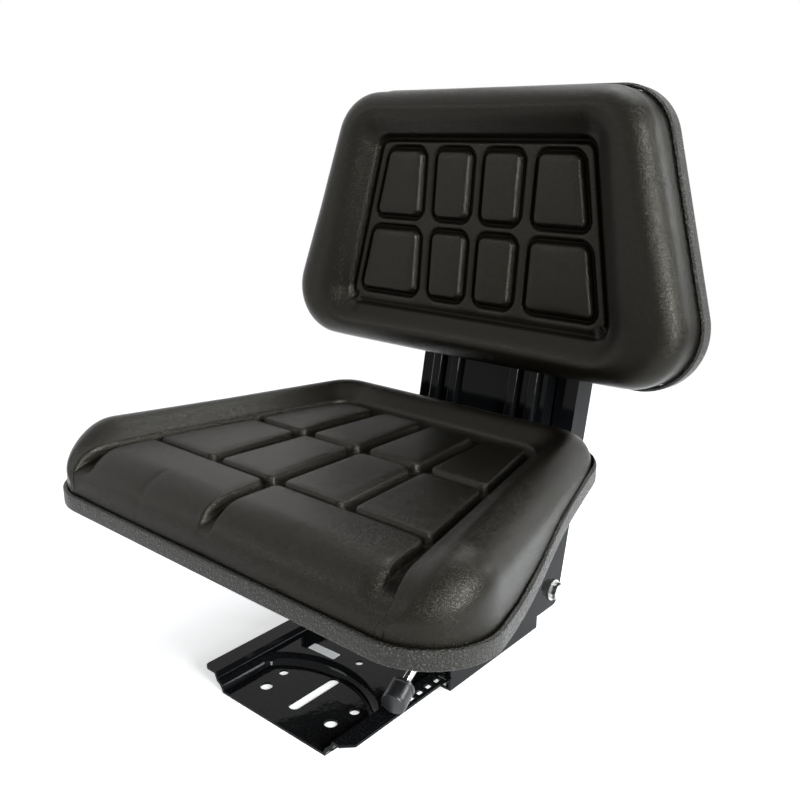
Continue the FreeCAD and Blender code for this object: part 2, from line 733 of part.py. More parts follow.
def panel_path(back):
    """Side view corners of the panel's front face, moved back by the given depth."""
    (centre_y, centre_z), _ = panel_bend()
    lean = math.radians(MAST_LEAN)
    knee_v = mast_height(PANEL_W, PANEL_KNEE_Z)
    knee_y, knee_z = mast_point(PANEL_W, knee_v)
    tilt = math.radians(BACK_TILT)
    half_turn = math.radians((MAST_LEAN + BACK_TILT) / 2)
    mitre = back / math.cos(math.radians((MAST_LEAN - BACK_TILT) / 2))
    knee = (knee_y + mitre * math.cos(half_turn), knee_z - mitre * math.sin(half_turn))
    top_y = knee_y + (PANEL_TOP_Z - knee_z) * math.tan(tilt)
    top = (top_y + back * math.cos(tilt), PANEL_TOP_Z - back * math.sin(tilt))
    foot_z = LEG_TOP - back
    radius = BEND_R + back
    corner_y = centre_y + radius * math.tan((math.pi / 2 - lean) / 2)
    return [(LEG_FRONT, foot_z), (corner_y, foot_z), knee, top], radius


def panel_strip(front, back, start, end_z):
    """Solid band between two depths of the panel, half a millimetre wide per unit."""
    outer, outer_r = panel_path(front)
    inner, inner_r = panel_path(back)
    corners = [(*outer[0], 0), (*outer[1], outer_r), (*outer[2], OUT / 8), (*outer[3], 0),
               (*inner[3], 0), (*inner[2], OUT / 8), (*inner[1], inner_r), (*inner[0], 0)]
    strip = side_plate(corners, -0.5, 0.5)
    keep = block(-1, 1, start, OUT, 0, end_z)
    return strip.common(keep)


def widened(strip, left, right):
    """Stretch a unit-wide side band to the given span across the seat."""
    face = [f for f in strip.Faces if abs(f.normalAt(0, 0).x + 1) < 1e-6][0]
    face.translate(Vector(left + 0.5, 0, 0))
    return face.extrude(Vector(right - left, 0, 0))


def rib(x):
    """A pressed bead: crown forward, hollow behind, with sloping ends."""
    crown = panel_strip(-RIB_HEIGHT, 0, RIB_START_Y, RIB_TOP_Z)
    outer = widened(crown, x - RIB_WIDTH / 2, x + RIB_WIDTH / 2)
    ridge = [edge for edge in outer.Edges if long_on_crown(edge, x)]
    return outer.makeFillet(RIB_WIDTH / 3, ridge)


def long_on_crown(edge, x):
    """True for the edges that run along the front of a bead."""
    if edge.BoundBox.XLength > 0.01 or edge.Length < 20:
        return False
    middle = edge.valueAt((edge.FirstParameter + edge.LastParameter) / 2)
    return depth_before_panel(middle) > RIB_HEIGHT / 2


def depth_before_panel(point):
    """How far a point stands in front of the panel's front face."""
    (centre_y, centre_z), bend_v = panel_bend()
    lean = math.radians(MAST_LEAN)
    w = (point.y - MAST_FOOT_Y) * math.cos(lean) - point.z * math.sin(lean)
    v = (point.y - MAST_FOOT_Y) * math.sin(lean) + point.z * math.cos(lean)
    if v > bend_v:
        return PANEL_W - w
    return BEND_R - math.hypot(point.y - centre_y, point.z - centre_z)


def rib_hollow(x):
    inner = panel_strip(-RIB_HEIGHT + PANEL_SHEET, PANEL_SHEET + 1,
                        RIB_START_Y + PANEL_SHEET, RIB_TOP_Z - PANEL_SHEET)
    half = RIB_WIDTH / 2 - PANEL_SHEET + 0.6
    return widened(inner, x - half, x + half)


def carriage_panel():
    """The ribbed J-shaped panel that carries the seat pan and the backrest."""
    sheet = widened(panel_strip(0, PANEL_SHEET, -OUT, 2 * OUT), -PANEL_HALF, PANEL_HALF)
    corners = [(-PANEL_HALF, LEG_FRONT, LEG_CORNER), (PANEL_HALF, LEG_FRONT, LEG_CORNER),
               (PANEL_HALF, OUT, 0), (-PANEL_HALF, OUT, 0)]
    sheet = sheet.common(flat_plate(corners, 0, OUT * 2))
    places = [side * (PANEL_HALF - inset) for side in (-1, 1) for inset in RIB_INSETS]
    panel = join([sheet] + [rib(x) for x in places])
    holes = [rib_hollow(place) for place in places]
    for side in (-1, 1):
        for y in SEAT_BOLT_ROWS:
            holes.append(upright(side * SEAT_BOLT_X, y, LEG_TOP - 10, LEG_TOP + 1, BOLT_R + RUNNING))
    for shank in backrest_shanks(BOLT_R + RUNNING, 10, 1):
        holes.append(shank)
    return panel.cut(holes)


def roller_bracket():
    """The right bracket: welded up the panel's back and round its bend."""
    centre_w = PANEL_W - BEND_R
    _, bend_v = panel_bend()
    radius = BEND_R + PANEL_SHEET
    back = PANEL_W + PANEL_SHEET
    swing = math.radians(52)
    low = ROLLER_V[0] - 17
    high = ROLLER_V[1] + 15
    arc = Part.Arc(Vector(0, back, bend_v),
                   Vector(0, centre_w + radius * math.cos(swing / 2), bend_v - radius * math.sin(swing / 2)),
                   Vector(0, centre_w + radius * math.cos(swing), bend_v - radius * math.sin(swing)))
    path = Part.makePolygon([arc.toShape().Vertexes[-1].Point, Vector(0, back - 8, low),
                             Vector(0, -10, low), Vector(0, -10, high), Vector(0, back, high),
                             Vector(0, back, bend_v)])
    spine = Part.Face(Part.Wire([arc.toShape()] + path.Edges))
    spine.translate(Vector(BRACKET_X, 0, 0))
    plate = spine.extrude(Vector(BRACKET_SHEET, 0, 0))
    lobes = []
    holes = []
    for v in ROLLER_V:
        lobe = [(-12, v - 13, 2), (10, v - 11, 9), (10, v + 11, 9), (-12, v + 13, 2)]
        lobes.append(side_plate(lobe, BRACKET_X, BRACKET_X + BRACKET_SHEET))
        holes.append(crosswise(0, v, BRACKET_X, BRACKET_X + BRACKET_SHEET, PIN_R + RUNNING))
    return on_mast(join([plate] + lobes).cut(holes))


def roller_pins():
    """Four turned pins with a collar against the bracket and a riveted tail."""
    pins = []
    collar = BRACKET_X + BRACKET_SHEET
    for v in ROLLER_V:
        shank = crosswise(0, v, BRACKET_X, ROLLER_INNER + ROLLER_WIDTH + 2, PIN_R)
        ring = crosswise(0, v, collar, ROLLER_INNER - SEAT_GAP, PIN_COLLAR_R)
        tail = crosswise(0, v, BRACKET_X - 3, BRACKET_X, PIN_R + 2.5)
        pins += pair(join([shank, ring, tail]))
    return Part.makeCompound([on_mast(pin) for pin in pins])


def roller_clips():
    clips = []
    start = ROLLER_INNER + ROLLER_WIDTH + SEAT_GAP
    for v in ROLLER_V:
        ring = crosswise(0, v, start, start + 1.2, PIN_COLLAR_R)
        clips += pair(ring.cut(crosswise(0, v, start, start + 1.2, PIN_R + RUNNING)))
    return Part.makeCompound([on_mast(clip) for clip in clips])


def track_roller(side, v):
    """Nylon roller with a chamfered tread and a shallow face recess."""
    r = ROLLER_R
    half = ROLLER_WIDTH / 2
    bore = PIN_R + RUNNING
    section = [Vector(-half, bore, 0), Vector(-half, r - 1, 0), Vector(-half + 1, r, 0),
               Vector(half - 1, r, 0), Vector(half, r - 1, 0), Vector(half, bore, 0),
               Vector(-half, bore, 0)]
    wheel = Part.Face(Part.makePolygon(section)).revolve(Vector(0, 0, 0), Vector(1, 0, 0), 360)
    wheel.translate(Vector(ROLLER_INNER + half, 0, v))
    if side < 0:
        wheel = mirrored(wheel)
    return on_mast(wheel)


def carriage_crossbar():
    """Bar between the roller brackets with the lower spring cups on it."""
    half = MAST_HALF_DEPTH - FRAME_SHEET
    top = CROSSBAR_V + CROSSBAR_THICK
    bar = block(-BRACKET_X, BRACKET_X, -half - 14, half, CROSSBAR_V, top)
    cups = [cup(side * SPRING_X, top, top + LOWER_CUP) for side in (-1, 1)]
    hole = upright(0, 0, CROSSBAR_V, top, ROD_R - 1 + RUNNING)
    return on_mast(join([bar] + cups).cut(hole))


def damper_rod():
    """Rod with its piston below and a threaded end through the crossbar."""
    top = CROSSBAR_V + CROSSBAR_THICK
    piston_low = CROSS_TOP + DAMPER_WALL + TRAVEL + 3
    parts = [upright(0, 0, piston_low, CROSSBAR_V, ROD_R),
             upright(0, 0, CROSSBAR_V, top + 8, ROD_R - 1),
             upright(0, 0, piston_low, piston_low + 6, DAMPER_BORE - RUNNING)]
    return on_mast(join(parts))


def damper_nut():
    low = CROSSBAR_V + CROSSBAR_THICK
    nut = hexagon_upright(0, 0, low, low + 6.5, 7.5)
    return on_mast(nut.cut(upright(0, 0, low, low + 6.5, ROD_R - 1 + RUNNING)))


# Seat

def seat_half(y):
    return SEAT_HALF_AT[0] - SEAT_TAPER * (y - SEAT_HALF_AT[1])


def seat_corners(inset):
    """Plan outline of the seat, drawn in by the given amount."""
    front = SEAT_FRONT + inset
    rear = SEAT_REAR - inset
    side = inset * math.hypot(1, SEAT_TAPER)
    return [(-seat_half(front) + side, front, SEAT_FRONT_R - inset),
            (seat_half(front) - side, front, SEAT_FRONT_R - inset),
            (seat_half(rear) - side, rear, SEAT_REAR_R - inset),
            (-seat_half(rear) + side, rear, SEAT_REAR_R - inset)]


def trim_curve(lift):
    curve = Part.BSplineCurve()
    curve.interpolate([Vector(0, y, z + lift) for y, z in TRIM_LINE])
    return curve


def trim_height(y):
    curve = trim_curve(0)
    line = Part.Line(Vector(0, y, 0), Vector(0, y, 1))
    crossing = curve.intersectCC(line)[0]
    return crossing.Z


def seat_trim():
    """Grained edging round the seat, following the rise of the pan's rim."""
    ring = flat_plate(seat_corners(0), 0, OUT).cut(flat_plate(seat_corners(TRIM_THICK), 0, OUT))
    low = trim_curve(0)
    high = trim_curve(TRIM_HEIGHT)
    front = TRIM_LINE[0]
    rear = TRIM_LINE[-1]
    rise = Vector(0, 0, TRIM_HEIGHT)
    ends = [Vector(0, *front), Vector(0, *rear)]
    band = Part.Wire([low.toShape(), Part.makeLine(ends[1], ends[1] + rise),
                      high.toShape(), Part.makeLine(ends[0] + rise, ends[0])])
    face = Part.Face(band)
    face.translate(Vector(-OUT, 0, 0))
    return ring.common(face.extrude(Vector(2 * OUT, 0, 0)))


def pan_stations():
    """Places along the seat where the pan's cross section is set."""
    front, rear = PAN_FLAT_Y
    lines = [(SEAT_FRONT - 10, None), (SEAT_FRONT + 8, None), (front, LEG_TOP), (-60.0, LEG_TOP),
             (0.0, LEG_TOP), (rear, LEG_TOP), (SEAT_REAR - 6, None), (SEAT_REAR + 10, None)]
    stations = []
    for y, flat in lines:
        rim = trim_height(y)
        stations.append((y, rim, flat if flat is not None else rim - 3))
    return stations


def pan_section(y, rim, flat, lift, top):
    """Cross section above the pan: a flat floor with sides that rise to the rim."""
    wide = seat_half(y) + 12
    narrow = PAN_FLAT_HALF
    points = [Vector(-wide, y, rim + lift), Vector(-narrow, y, flat + lift),
              Vector(narrow, y, flat + lift), Vector(wide, y, rim + lift),
              Vector(wide, y, top), Vector(-wide, y, top), Vector(-wide, y, rim + lift)]
    return Part.makePolygon(points)


def above_pan(lift):
    wires = [pan_section(y, rim, flat, lift, OUT) for y, rim, flat in pan_stations()]
    return loft(wires)


def seat_pan():
    """Pressed pan under the cushion: flat where the panel bolts on, rim inside the trim."""
    inner = seat_corners(TRIM_THICK + SEAT_GAP)
    pan = flat_plate(inner, 0, OUT).common(above_pan(0)).cut(above_pan(PAN_SHEET))
    holes = [upright(side * SEAT_BOLT_X, y, LEG_TOP - 1, LEG_TOP + 5, BOLT_R + RUNNING)
             for side in (-1, 1) for y in SEAT_BOLT_ROWS]
    return pan.cut(holes)


def rolled_profile(drop, rear_top, fall):
    """Side view under a seat surface that rolls over the front edge."""
    radius = FRONT_ROLL - drop
    front = SEAT_FRONT + TRIM_THICK + drop + SEAT_GAP
    top = PAD_TOP - drop
    corners = [(front, UNDER_SEAT, 0), (front, top, radius)]
    if rear_top > top:
        corners += [(fall[1], top, 60), (fall[0], rear_top, 120)]
    corners += [(SEAT_REAR + 20, rear_top, 0), (SEAT_REAR + 20, UNDER_SEAT, 0)]
    return side_plate(corners, -OUT, OUT)


def pad_plan(y0, y1, inner, outer):
    """Plan of one pad between two side lines, each a (half width, taper) pair."""
    def at(line, y):
        return line[0] - line[1] * (y - ROW_FRONTS[0])
    return [(at(inner, y0), y0, PAD_CORNER), (at(outer, y0), y0, PAD_CORNER),
            (at(outer, y1), y1, PAD_CORNER), (at(inner, y1), y1, PAD_CORNER)]


def softened(pad, top, radius):
    """Round the upper edges of a pad."""
    rims = [e for e in pad.Edges if e.BoundBox.ZMin > top - 0.01]
    return pad.makeFillet(radius, rims)


def seat_pads():
    """Two rows of four pads behind a row of two that rolls over the front."""
    centre = (CENTRE_GAP, 0.0)
    pads = []
    for y in ROW_FRONTS:
        for inner, outer in ((centre, PAD_INNER_EDGE), (PAD_OUTER_START, PAD_OUTER_EDGE)):
            plan = pad_plan(y, y + ROW_LENGTH, inner, outer)
            pad = flat_plate(plan, PAD_TOP - GROOVE - 2, PAD_TOP)
            pads += pair(softened(pad, PAD_TOP, PAD_EDGE))
    rear = ROW_FRONTS[0] - GROOVE
    plan = pad_plan(SEAT_FRONT, rear, centre, PAD_OUTER_EDGE)
    front_pad = flat_plate(plan, SKIRT_GROOVE_END - 5, PAD_TOP)
    pads += pair(front_pad.common(rolled_profile(0, PAD_TOP, None)))
    return pads


def waffle_recess():
    """The space sunk between the bolsters, open over the front edge."""
    edge = (PAD_OUTER_EDGE[0] + GROOVE, PAD_OUTER_EDGE[1])
    plan = pad_plan(SEAT_FRONT - 10, WAFFLE_REAR, (-edge[0], -edge[1]), edge)
    plan = [(*plan[0][:2], 0), (*plan[1][:2], 0), (*plan[2][:2], 18), (*plan[3][:2], 18)]
    space = flat_plate(plan, SKIRT_GROOVE_END, OUT)
    return space.cut(rolled_profile(GROOVE, PAD_TOP - GROOVE, None))


def seat_cushion():
    """Moulded cushion: bolsters on three sides round the waffle pads."""
    inner = seat_corners(TRIM_THICK + SEAT_GAP)
    blank = flat_plate(inner, UNDER_SEAT, BOLSTER_TOP)
    blank = softened(blank, BOLSTER_TOP, SIDE_ROLL)
    blank = blank.common(rolled_profile(0, BOLSTER_TOP, BOLSTER_FALL))
    blank = blank.common(above_pan(PAN_SHEET + SEAT_GAP))
    blank = blank.cut(waffle_recess())
    return join([blank] + seat_pads())


# Backrest, built upright in its own frame: y is depth, towards the back

def back_corners(inset):
    half_low, low, low_r = BACK_BOTTOM
    half_high, high, high_r = BACK_TOP
    slope = (half_low - half_high) / (high - low)
    side = inset * math.hypot(1, slope)
    return [(-half_low + side + inset * slope, low + inset, low_r - inset),
            (half_low - side - inset * slope, low + inset, low_r - inset),
            (half_high - side + inset * slope, high - inset, high_r - inset),
            (-half_high + side - inset * slope, high - inset, high_r - inset)]


def back_layer(corners, front, back):
    """Solid of a front-view outline between two depths, forward being positive."""
    face = Part.Face(rounded_wire(corners, from_front))
    face.translate(Vector(0, -front, 0))
    return face.extrude(Vector(0, front - back, 0))


def backrest_trim():
    ring = back_layer(back_corners(0), -BACK_REAR + BACK_TRIM, -BACK_REAR)
    hole = back_layer(back_corners(TRIM_THICK), -BACK_REAR + BACK_TRIM, -BACK_REAR)
    return on_backrest(ring.cut(hole))


def platform_depth():
    """Depth of the panel's front face behind the backrest's groove plane."""
    tilt = math.radians(BACK_TILT)
    knee_y, knee_z = mast_point(PANEL_W, mast_height(PANEL_W, PANEL_KNEE_Z))
    return (knee_y - BACK_POINT[0]) * math.cos(tilt) - (knee_z - BACK_POINT[1]) * math.sin(tilt)


def platform_frustum(grow, front, back):
    half, low, high = PLATFORM
    wide = PLATFORM_SLOPE
    wires = []
    for depth, spread in ((front, wide), (back, 0.0)):
        reach = half + grow + spread
        corners = [(-reach, low - grow - spread, 14), (reach, low - grow - spread, 14),
                   (reach, high + grow + spread, 14), (-reach, high + grow + spread, 14)]
        wire = rounded_wire(corners, from_front)
        wire.translate(Vector(0, depth, 0))
        wires.append(wire)
    return loft(wires)


def backrest_shanks(radius, behind, before):
    """Four bolt shanks square to the backrest, round the panel's front face."""
    depth = platform_depth()
    shanks = []
    for side in (-1, 1):
        for v in BACK_BOLT_ROWS:
            shank = Part.makeCylinder(radius, behind + before, Vector(side * BACK_BOLT_X, depth - before, v),
                                      Vector(0, 1, 0))
            shanks.append(on_backrest(shank))
    return shanks


def backrest_pan():
    """Steel back with a raised platform that seats on the carriage panel."""
    depth = platform_depth()
    rear = BACK_REAR
    inner = back_corners(TRIM_THICK + SEAT_GAP)
    sheet = back_layer(inner, -rear + PAN_SHEET, -rear)
    platform = platform_frustum(0, rear - PAN_SHEET, depth)
    hollow = platform_frustum(-PAN_SHEET, rear - PAN_SHEET, depth - PAN_SHEET)
    pan = on_backrest(join([sheet, platform]).cut(hollow))
    return pan.cut(backrest_shanks(BOLT_R + RUNNING, 1, 5))


def backrest_pad_plans(grow):
    """Front views of the four right-hand pads, each grown by a margin."""
    edge_half, taper = BACK_PAD_EDGE
    corner = PAD_CORNER + grow
    plans = []
    for low, high in BACK_ROWS:
        bottom, top = low - grow, high + grow
        sides = ((BACK_PAD_INNER[0], BACK_PAD_INNER[1], BACK_PAD_INNER[1]),
                 (BACK_PAD_OUTER, edge_half - taper * bottom, edge_half - taper * top))
        for inside, bottom_out, top_out in sides:
            plans.append([(inside - grow, bottom, corner), (bottom_out + grow, bottom, corner),
                          (top_out + grow, top, corner), (inside - grow, top, corner)])
    return plans


def backrest_pads():
    pads = []
    for plan in backrest_pad_plans(0):
        pad = back_layer(plan, BACK_PAD_HEIGHT, -1)
        rims = [e for e in pad.Edges if e.BoundBox.YMax < -BACK_PAD_HEIGHT + 0.01]
        pads += pair(pad.makeFillet(PAD_EDGE, rims))
    return pads


def recess_corners(spread):
    """Front view of the sunk trapezoid, spread outwards by a margin."""
    half_low, low = BACK_RECESS_BOTTOM
    half_high, high = BACK_RECESS_TOP
    return [(-half_low - spread, low - spread, RECESS_CORNER),
            (half_low + spread, low - spread, RECESS_CORNER),
            (half_high + spread, high + spread, RECESS_CORNER),
            (-half_high - spread, high + spread, RECESS_CORNER)]


def backrest_recess():
    """The sunk trapezoid round the backrest pads, with flared walls."""
    wires = []
    for depth, spread in ((0.0, 0.0), (-BACK_BULGE - 1, RECESS_FLARE)):
        wire = rounded_wire(recess_corners(spread), from_front)
        wire.translate(Vector(0, depth, 0))
        wires.append(wire)
    return loft(wires)


def backrest_land():
    """Flat land between the pads, with a narrow groove round each pad."""
    land = back_layer(recess_corners(-BACK_GROOVE), BACK_LAND, -1)
    wells = []
    for plan in backrest_pad_plans(BACK_GROOVE):
        wells += pair(back_layer(plan, BACK_LAND + 1, -2))
    return land.cut(wells)


def backrest_cushion():
    """Moulded cushion: a fat rolled border round eight pads."""
    inner = back_corners(TRIM_THICK + SEAT_GAP)
    body = back_layer(inner, BACK_BULGE, -BACK_REAR + PAN_SHEET + SEAT_GAP)
    rims = [e for e in body.Edges if e.BoundBox.YMax < -BACK_BULGE + 0.01]
    body = body.makeFillet(BACK_ROLL, rims)
    body = body.cut(backrest_recess())
    return on_backrest(join([body, backrest_land()] + backrest_pads()))


def seat_bolts():
    """Four bolts from under the panel's leg into the pan."""
    low = LEG_TOP - PANEL_SHEET
    bolts = []
    for side in (-1, 1):
        for y in SEAT_BOLT_ROWS:
            bolts.append(join([hexagon_upright(side * SEAT_BOLT_X, y, low - BOLT_HEAD, low, BOLT_HEAD_R),
                               upright(side * SEAT_BOLT_X, y, low, LEG_TOP + PAN_SHEET, BOLT_R)]))
    return Part.makeCompound(bolts)


def backrest_bolts():
    """Four bolts from behind the panel into the backrest's platform."""
    depth = platform_depth() + PANEL_SHEET
    bolts = []
    for side in (-1, 1):
        for v in BACK_BOLT_ROWS:
            head = hexagon_upright(0, 0, 0, BOLT_HEAD, BOLT_HEAD_R)
            shank = upright(0, 0, -PANEL_SHEET - PAN_SHEET, 0, BOLT_R)
            bolt = join([head, shank])
            bolt.Placement = FreeCAD.Placement(Vector(side * BACK_BOLT_X, depth, v),
                                               FreeCAD.Rotation(Vector(1, 0, 0), -90))
            bolts.append(on_backrest(bolt))
    return Part.makeCompound(bolts)


def build():
    frame = side_frame()
    rail = slide_rail()
    bracket = roller_bracket()
    pivot_hole = crosswise(*LEVER_PIVOT, 0, OUT, LEVER_PIN_R + RUNNING)
    pieces = {
        "base_plate": base_plate(),
        "right_side_frame": frame.cut([tooth_window(), pivot_hole]),
        "left_side_frame": mirrored(frame),
        "right_slide_rail": rail.cut(tooth_window()),
        "left_slide_rail": mirrored(rail),
        "upper_glides": upper_glides(),
        "lower_glides": lower_glides(),
        "front_crosstube": front_crosstube(),
        "lower_crossmember": lower_crossmember(),
        "rear_web": rear_web(),
        "mast_top_plate": mast_top_plate(),
        "bump_stops": bump_stops(),
        "rebound_stops": rebound_stops(),
        "anchor_bolts": anchor_bolts(),
        "anchor_washers": anchor_washers(),
        "anchor_nuts": anchor_nuts(),
        "damper_body": damper_body(),
        "latch_pivot": latch_pivot(),
        "latch_nut": latch_nut(),
        "latch_lever": latch_lever(),
        "latch_knob": latch_knob(),
        "weight_spindle": weight_spindle(),
        "weight_washer": weight_washer(),
        "weight_knob": weight_knob(),
        "spring_yoke": spring_yoke(),
        "right_spring": coil_spring(1),
        "left_spring": coil_spring(-1),
        "carriage_panel": carriage_panel(),
        "right_roller_bracket": bracket,
        "left_roller_bracket": mirrored(bracket),
        "roller_pins": roller_pins(),
        "roller_clips": roller_clips(),
        "carriage_crossbar": carriage_crossbar(),
        "damper_rod": damper_rod(),
        "damper_nut": damper_nut(),
        "seat_pan": seat_pan(),
        "seat_cushion": seat_cushion(),
        "seat_trim": seat_trim(),
        "seat_bolts": seat_bolts(),
        "backrest_pan": backrest_pan(),
        "backrest_cushion": backrest_cushion(),
        "backrest_trim": backrest_trim(),
        "backrest_bolts": backrest_bolts(),
    }
    for side, name in ((1, "right"), (-1, "left")):
        for height, v in zip(("lower", "upper"), ROLLER_V):
            pieces[height + "_" + name + "_roller"] = track_roller(side, v)
    return pieces


os.makedirs("parts", exist_ok=True)
for node, shape in build().items():
    shape.exportStep("parts/" + node + ".step")
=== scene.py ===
"""Looks of the tractor suspension seat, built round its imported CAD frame, in metres."""
import json
import logging
import math
from dataclasses import dataclass
from enum import Enum

import bpy
import numpy as np
from bpy.types import Material, Node, NodeSocket, NodeTree, Object, ShaderNodeTree
from mathutils import Matrix, Vector


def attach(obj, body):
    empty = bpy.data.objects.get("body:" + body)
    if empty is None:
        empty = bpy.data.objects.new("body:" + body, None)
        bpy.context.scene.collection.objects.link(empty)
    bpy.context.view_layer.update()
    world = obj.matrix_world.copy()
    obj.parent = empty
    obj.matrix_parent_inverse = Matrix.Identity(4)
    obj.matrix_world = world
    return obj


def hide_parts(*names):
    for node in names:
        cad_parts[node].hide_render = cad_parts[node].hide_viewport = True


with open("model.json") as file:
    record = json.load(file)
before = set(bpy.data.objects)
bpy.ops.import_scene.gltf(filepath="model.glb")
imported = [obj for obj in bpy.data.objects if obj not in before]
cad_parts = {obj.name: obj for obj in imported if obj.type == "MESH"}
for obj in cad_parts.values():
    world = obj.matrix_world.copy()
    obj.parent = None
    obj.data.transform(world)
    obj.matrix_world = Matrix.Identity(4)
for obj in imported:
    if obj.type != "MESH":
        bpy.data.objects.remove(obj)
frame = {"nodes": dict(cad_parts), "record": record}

LOG = logging.getLogger("seat")
TOUCHING = 0.00001
WHITE = (1.0, 1.0, 1.0, 1.0)


# Small helpers

def deselect_all() -> None:
    """Leave nothing selected, so that an operator acts only on what comes next."""
    bpy.ops.object.select_all(action="DESELECT")


def make_active(piece: Object) -> None:
    """Select one piece alone and make it the active one."""
    deselect_all()
    piece.select_set(True)
    bpy.context.view_layer.objects.active = piece


def apply_modifier(piece: Object, kind: str, **settings: object) -> None:
    """Add a modifier with the given settings and apply it at once.

    Args:
        piece: The object to change.
        kind: The modifier's type, such as "BEVEL".
        settings: Values set on the modifier by name.
    """
    make_active(piece)
    modifier = piece.modifiers.new(kind.title(), kind)
    for name, value in settings.items():
        setattr(modifier, name, value)
    bpy.ops.object.modifier_apply(modifier=modifier.name)


def apply_place(piece: Object) -> None:
    """Move a piece's place, turn and scale into its mesh."""
    make_active(piece)
    bpy.ops.object.transform_apply(location=True, rotation=True, scale=True)


def shade_smooth(piece: Object, degrees: float) -> None:
    """Shade a piece smooth, except across edges sharper than the angle."""
    make_active(piece)
    bpy.ops.object.shade_smooth_by_angle(angle=math.radians(degrees))


def mesh_piece(name: str, points: list, faces: list, edges: tuple | list = ()) -> Object:
    """Return a new object with a mesh of the given points and faces.

    Args:
        name: The piece's plain name.
        points: Corner points in metres.
        faces: Tuples of point numbers, each counter-clockwise seen from outside.
        edges: Pairs of point numbers that no face joins.

    Returns:
        The new object, linked to the scene.
    """
    mesh = bpy.data.meshes.new(name)
    mesh.from_pydata(points, edges, faces)
    mesh.update()
    piece = bpy.data.objects.new(name, mesh)
    bpy.context.scene.collection.objects.link(piece)
    return piece


def read_points(piece: Object) -> np.ndarray:
    """Return the piece's mesh points as rows of x, y and z."""
    values = np.zeros(len(piece.data.vertices) * 3, np.float32)
    piece.data.vertices.foreach_get("co", values)
    return values.reshape(-1, 3).astype(float)


def write_points(piece: Object, points: np.ndarray) -> None:
    """Put changed rows of x, y and z back in the piece's mesh."""
    piece.data.vertices.foreach_set("co", points.astype(np.float32).ravel())
    piece.data.update()


def point_normals(piece: Object) -> np.ndarray:
    """Return the smooth normal at each of the piece's mesh points."""
    values = np.zeros(len(piece.data.vertices) * 3, np.float32)
    piece.data.vertex_normals.foreach_get("vector", values)
    return values.reshape(-1, 3).astype(float)


def smooth_step(value: np.ndarray, low: float, high: float) -> np.ndarray:
    """Rise smoothly from 0 at low to 1 at high."""
    share = np.clip((value - low) / (high - low), 0.0, 1.0)
    return share * share * (3 - 2 * share)


def along_line(places: np.ndarray, line: tuple) -> np.ndarray:
    """Return the height of a line of (place, height) points at the given places."""
    return np.interp(places, [point[0] for point in line], [point[1] for point in line])


def rolled_edge(inside: np.ndarray, radius: float) -> np.ndarray:
    """Quarter-round rise from 0 at an edge to 1 a radius inside it."""
    share = np.clip(inside / radius, 0.0, 1.0)
    return np.sqrt(1 - (1 - share) ** 2)


# Shader nodes

def add_node(tree: NodeTree, kind: str, feeds: dict | None = None,
             **settings: object) -> Node:
    """Add a node to a tree.

    Args:
        tree: The tree that it goes into.
        kind: The node's type, such as "ShaderNodeMath".
        feeds: A socket to join or a value to set for each input, by name or number.
        settings: Plain properties of the node by name.

    Returns:
        The new node.
    """
    made = tree.nodes.new(kind)
    for name, value in settings.items():
        setattr(made, name, value)
    for name, value in (feeds or {}).items():
        if isinstance(value, NodeSocket):
            tree.links.new(value, made.inputs[name])
        else:
            made.inputs[name].default_value = value
    return made


def own_place(tree: NodeTree) -> NodeSocket:
    """Return the place on the piece, in its own coordinates."""
    return add_node(tree, "ShaderNodeTexCoord").outputs["Object"]


def add_noise(tree: NodeTree, scale: object, detail: float, **feeds: object) -> NodeSocket:
    """Add a noise on the piece's own place and return its value."""
    inputs = {"Vector": own_place(tree), "Scale": scale, "Detail": detail, **feeds}
    return add_node(tree, "ShaderNodeTexNoise", inputs).outputs["Fac"]


def add_math(tree: NodeTree, operation: str, first: object, second: object) -> NodeSocket:
    """Add a sum of two sockets or numbers and return its result."""
    return add_node(tree, "ShaderNodeMath", {0: first, 1: second}, operation=operation).outputs[0]


class GroupMaker:
    """Builds one shader node group with named number inputs and outputs."""

    def __init__(self, name: str, **inputs: float) -> None:
        """Start a group, with _ for each space in the name of an input."""
        self.tree = bpy.data.node_groups.new(name, "ShaderNodeTree")
        self.end = self.tree.nodes.new("NodeGroupOutput")
        for label, default in inputs.items():
            socket = self.tree.interface.new_socket(label.replace("_", " "), in_out="INPUT",
                                                    socket_type="NodeSocketFloat")
            socket.default_value = default
        self.inputs = self.tree.nodes.new("NodeGroupInput").outputs

    def out(self, name: str, source: NodeSocket) -> None:
        """Add a number output and feed it."""
        self.tree.interface.new_socket(name, in_out="OUTPUT", socket_type="NodeSocketFloat")
        self.tree.links.new(source, self.end.inputs[name])


def leather_grain_group() -> ShaderNodeTree:
    """Pebbled leather grain: rounded cells with creases, and a finer grain on top."""
    made = GroupMaker("leather_grain", Cells_per_metre=900.0)
    tree = made.tree
    place = own_place(tree)
    stir = add_node(tree, "ShaderNodeTexNoise", {"Vector": place, "Scale": 260.0, "Detail": 3.0})
    shift = add_node(tree, "ShaderNodeVectorMath",
                     {0: stir.outputs["Color"], 1: (0.0016, 0.0016, 0.0016), 2: place},
                     operation="MULTIPLY_ADD")
    cells = add_node(tree, "ShaderNodeTexVoronoi",
                     {"Vector": shift.outputs[0], "Scale": made.inputs["Cells per metre"]},
                     feature="DISTANCE_TO_EDGE")
    crease = add_node(tree, "ShaderNodeMapRange", {"Value": cells.outputs["Distance"], "From Max": 0.35},
                      interpolation_type="SMOOTHSTEP").outputs["Result"]
    fine = add_math(tree, "MULTIPLY", add_noise(tree, 2600.0, 4.0), 0.6)
    made.out("Height", add_math(tree, "ADD", crease, fine))
    made.out("Crease", add_math(tree, "SUBTRACT", 1.0, crease))
    return tree


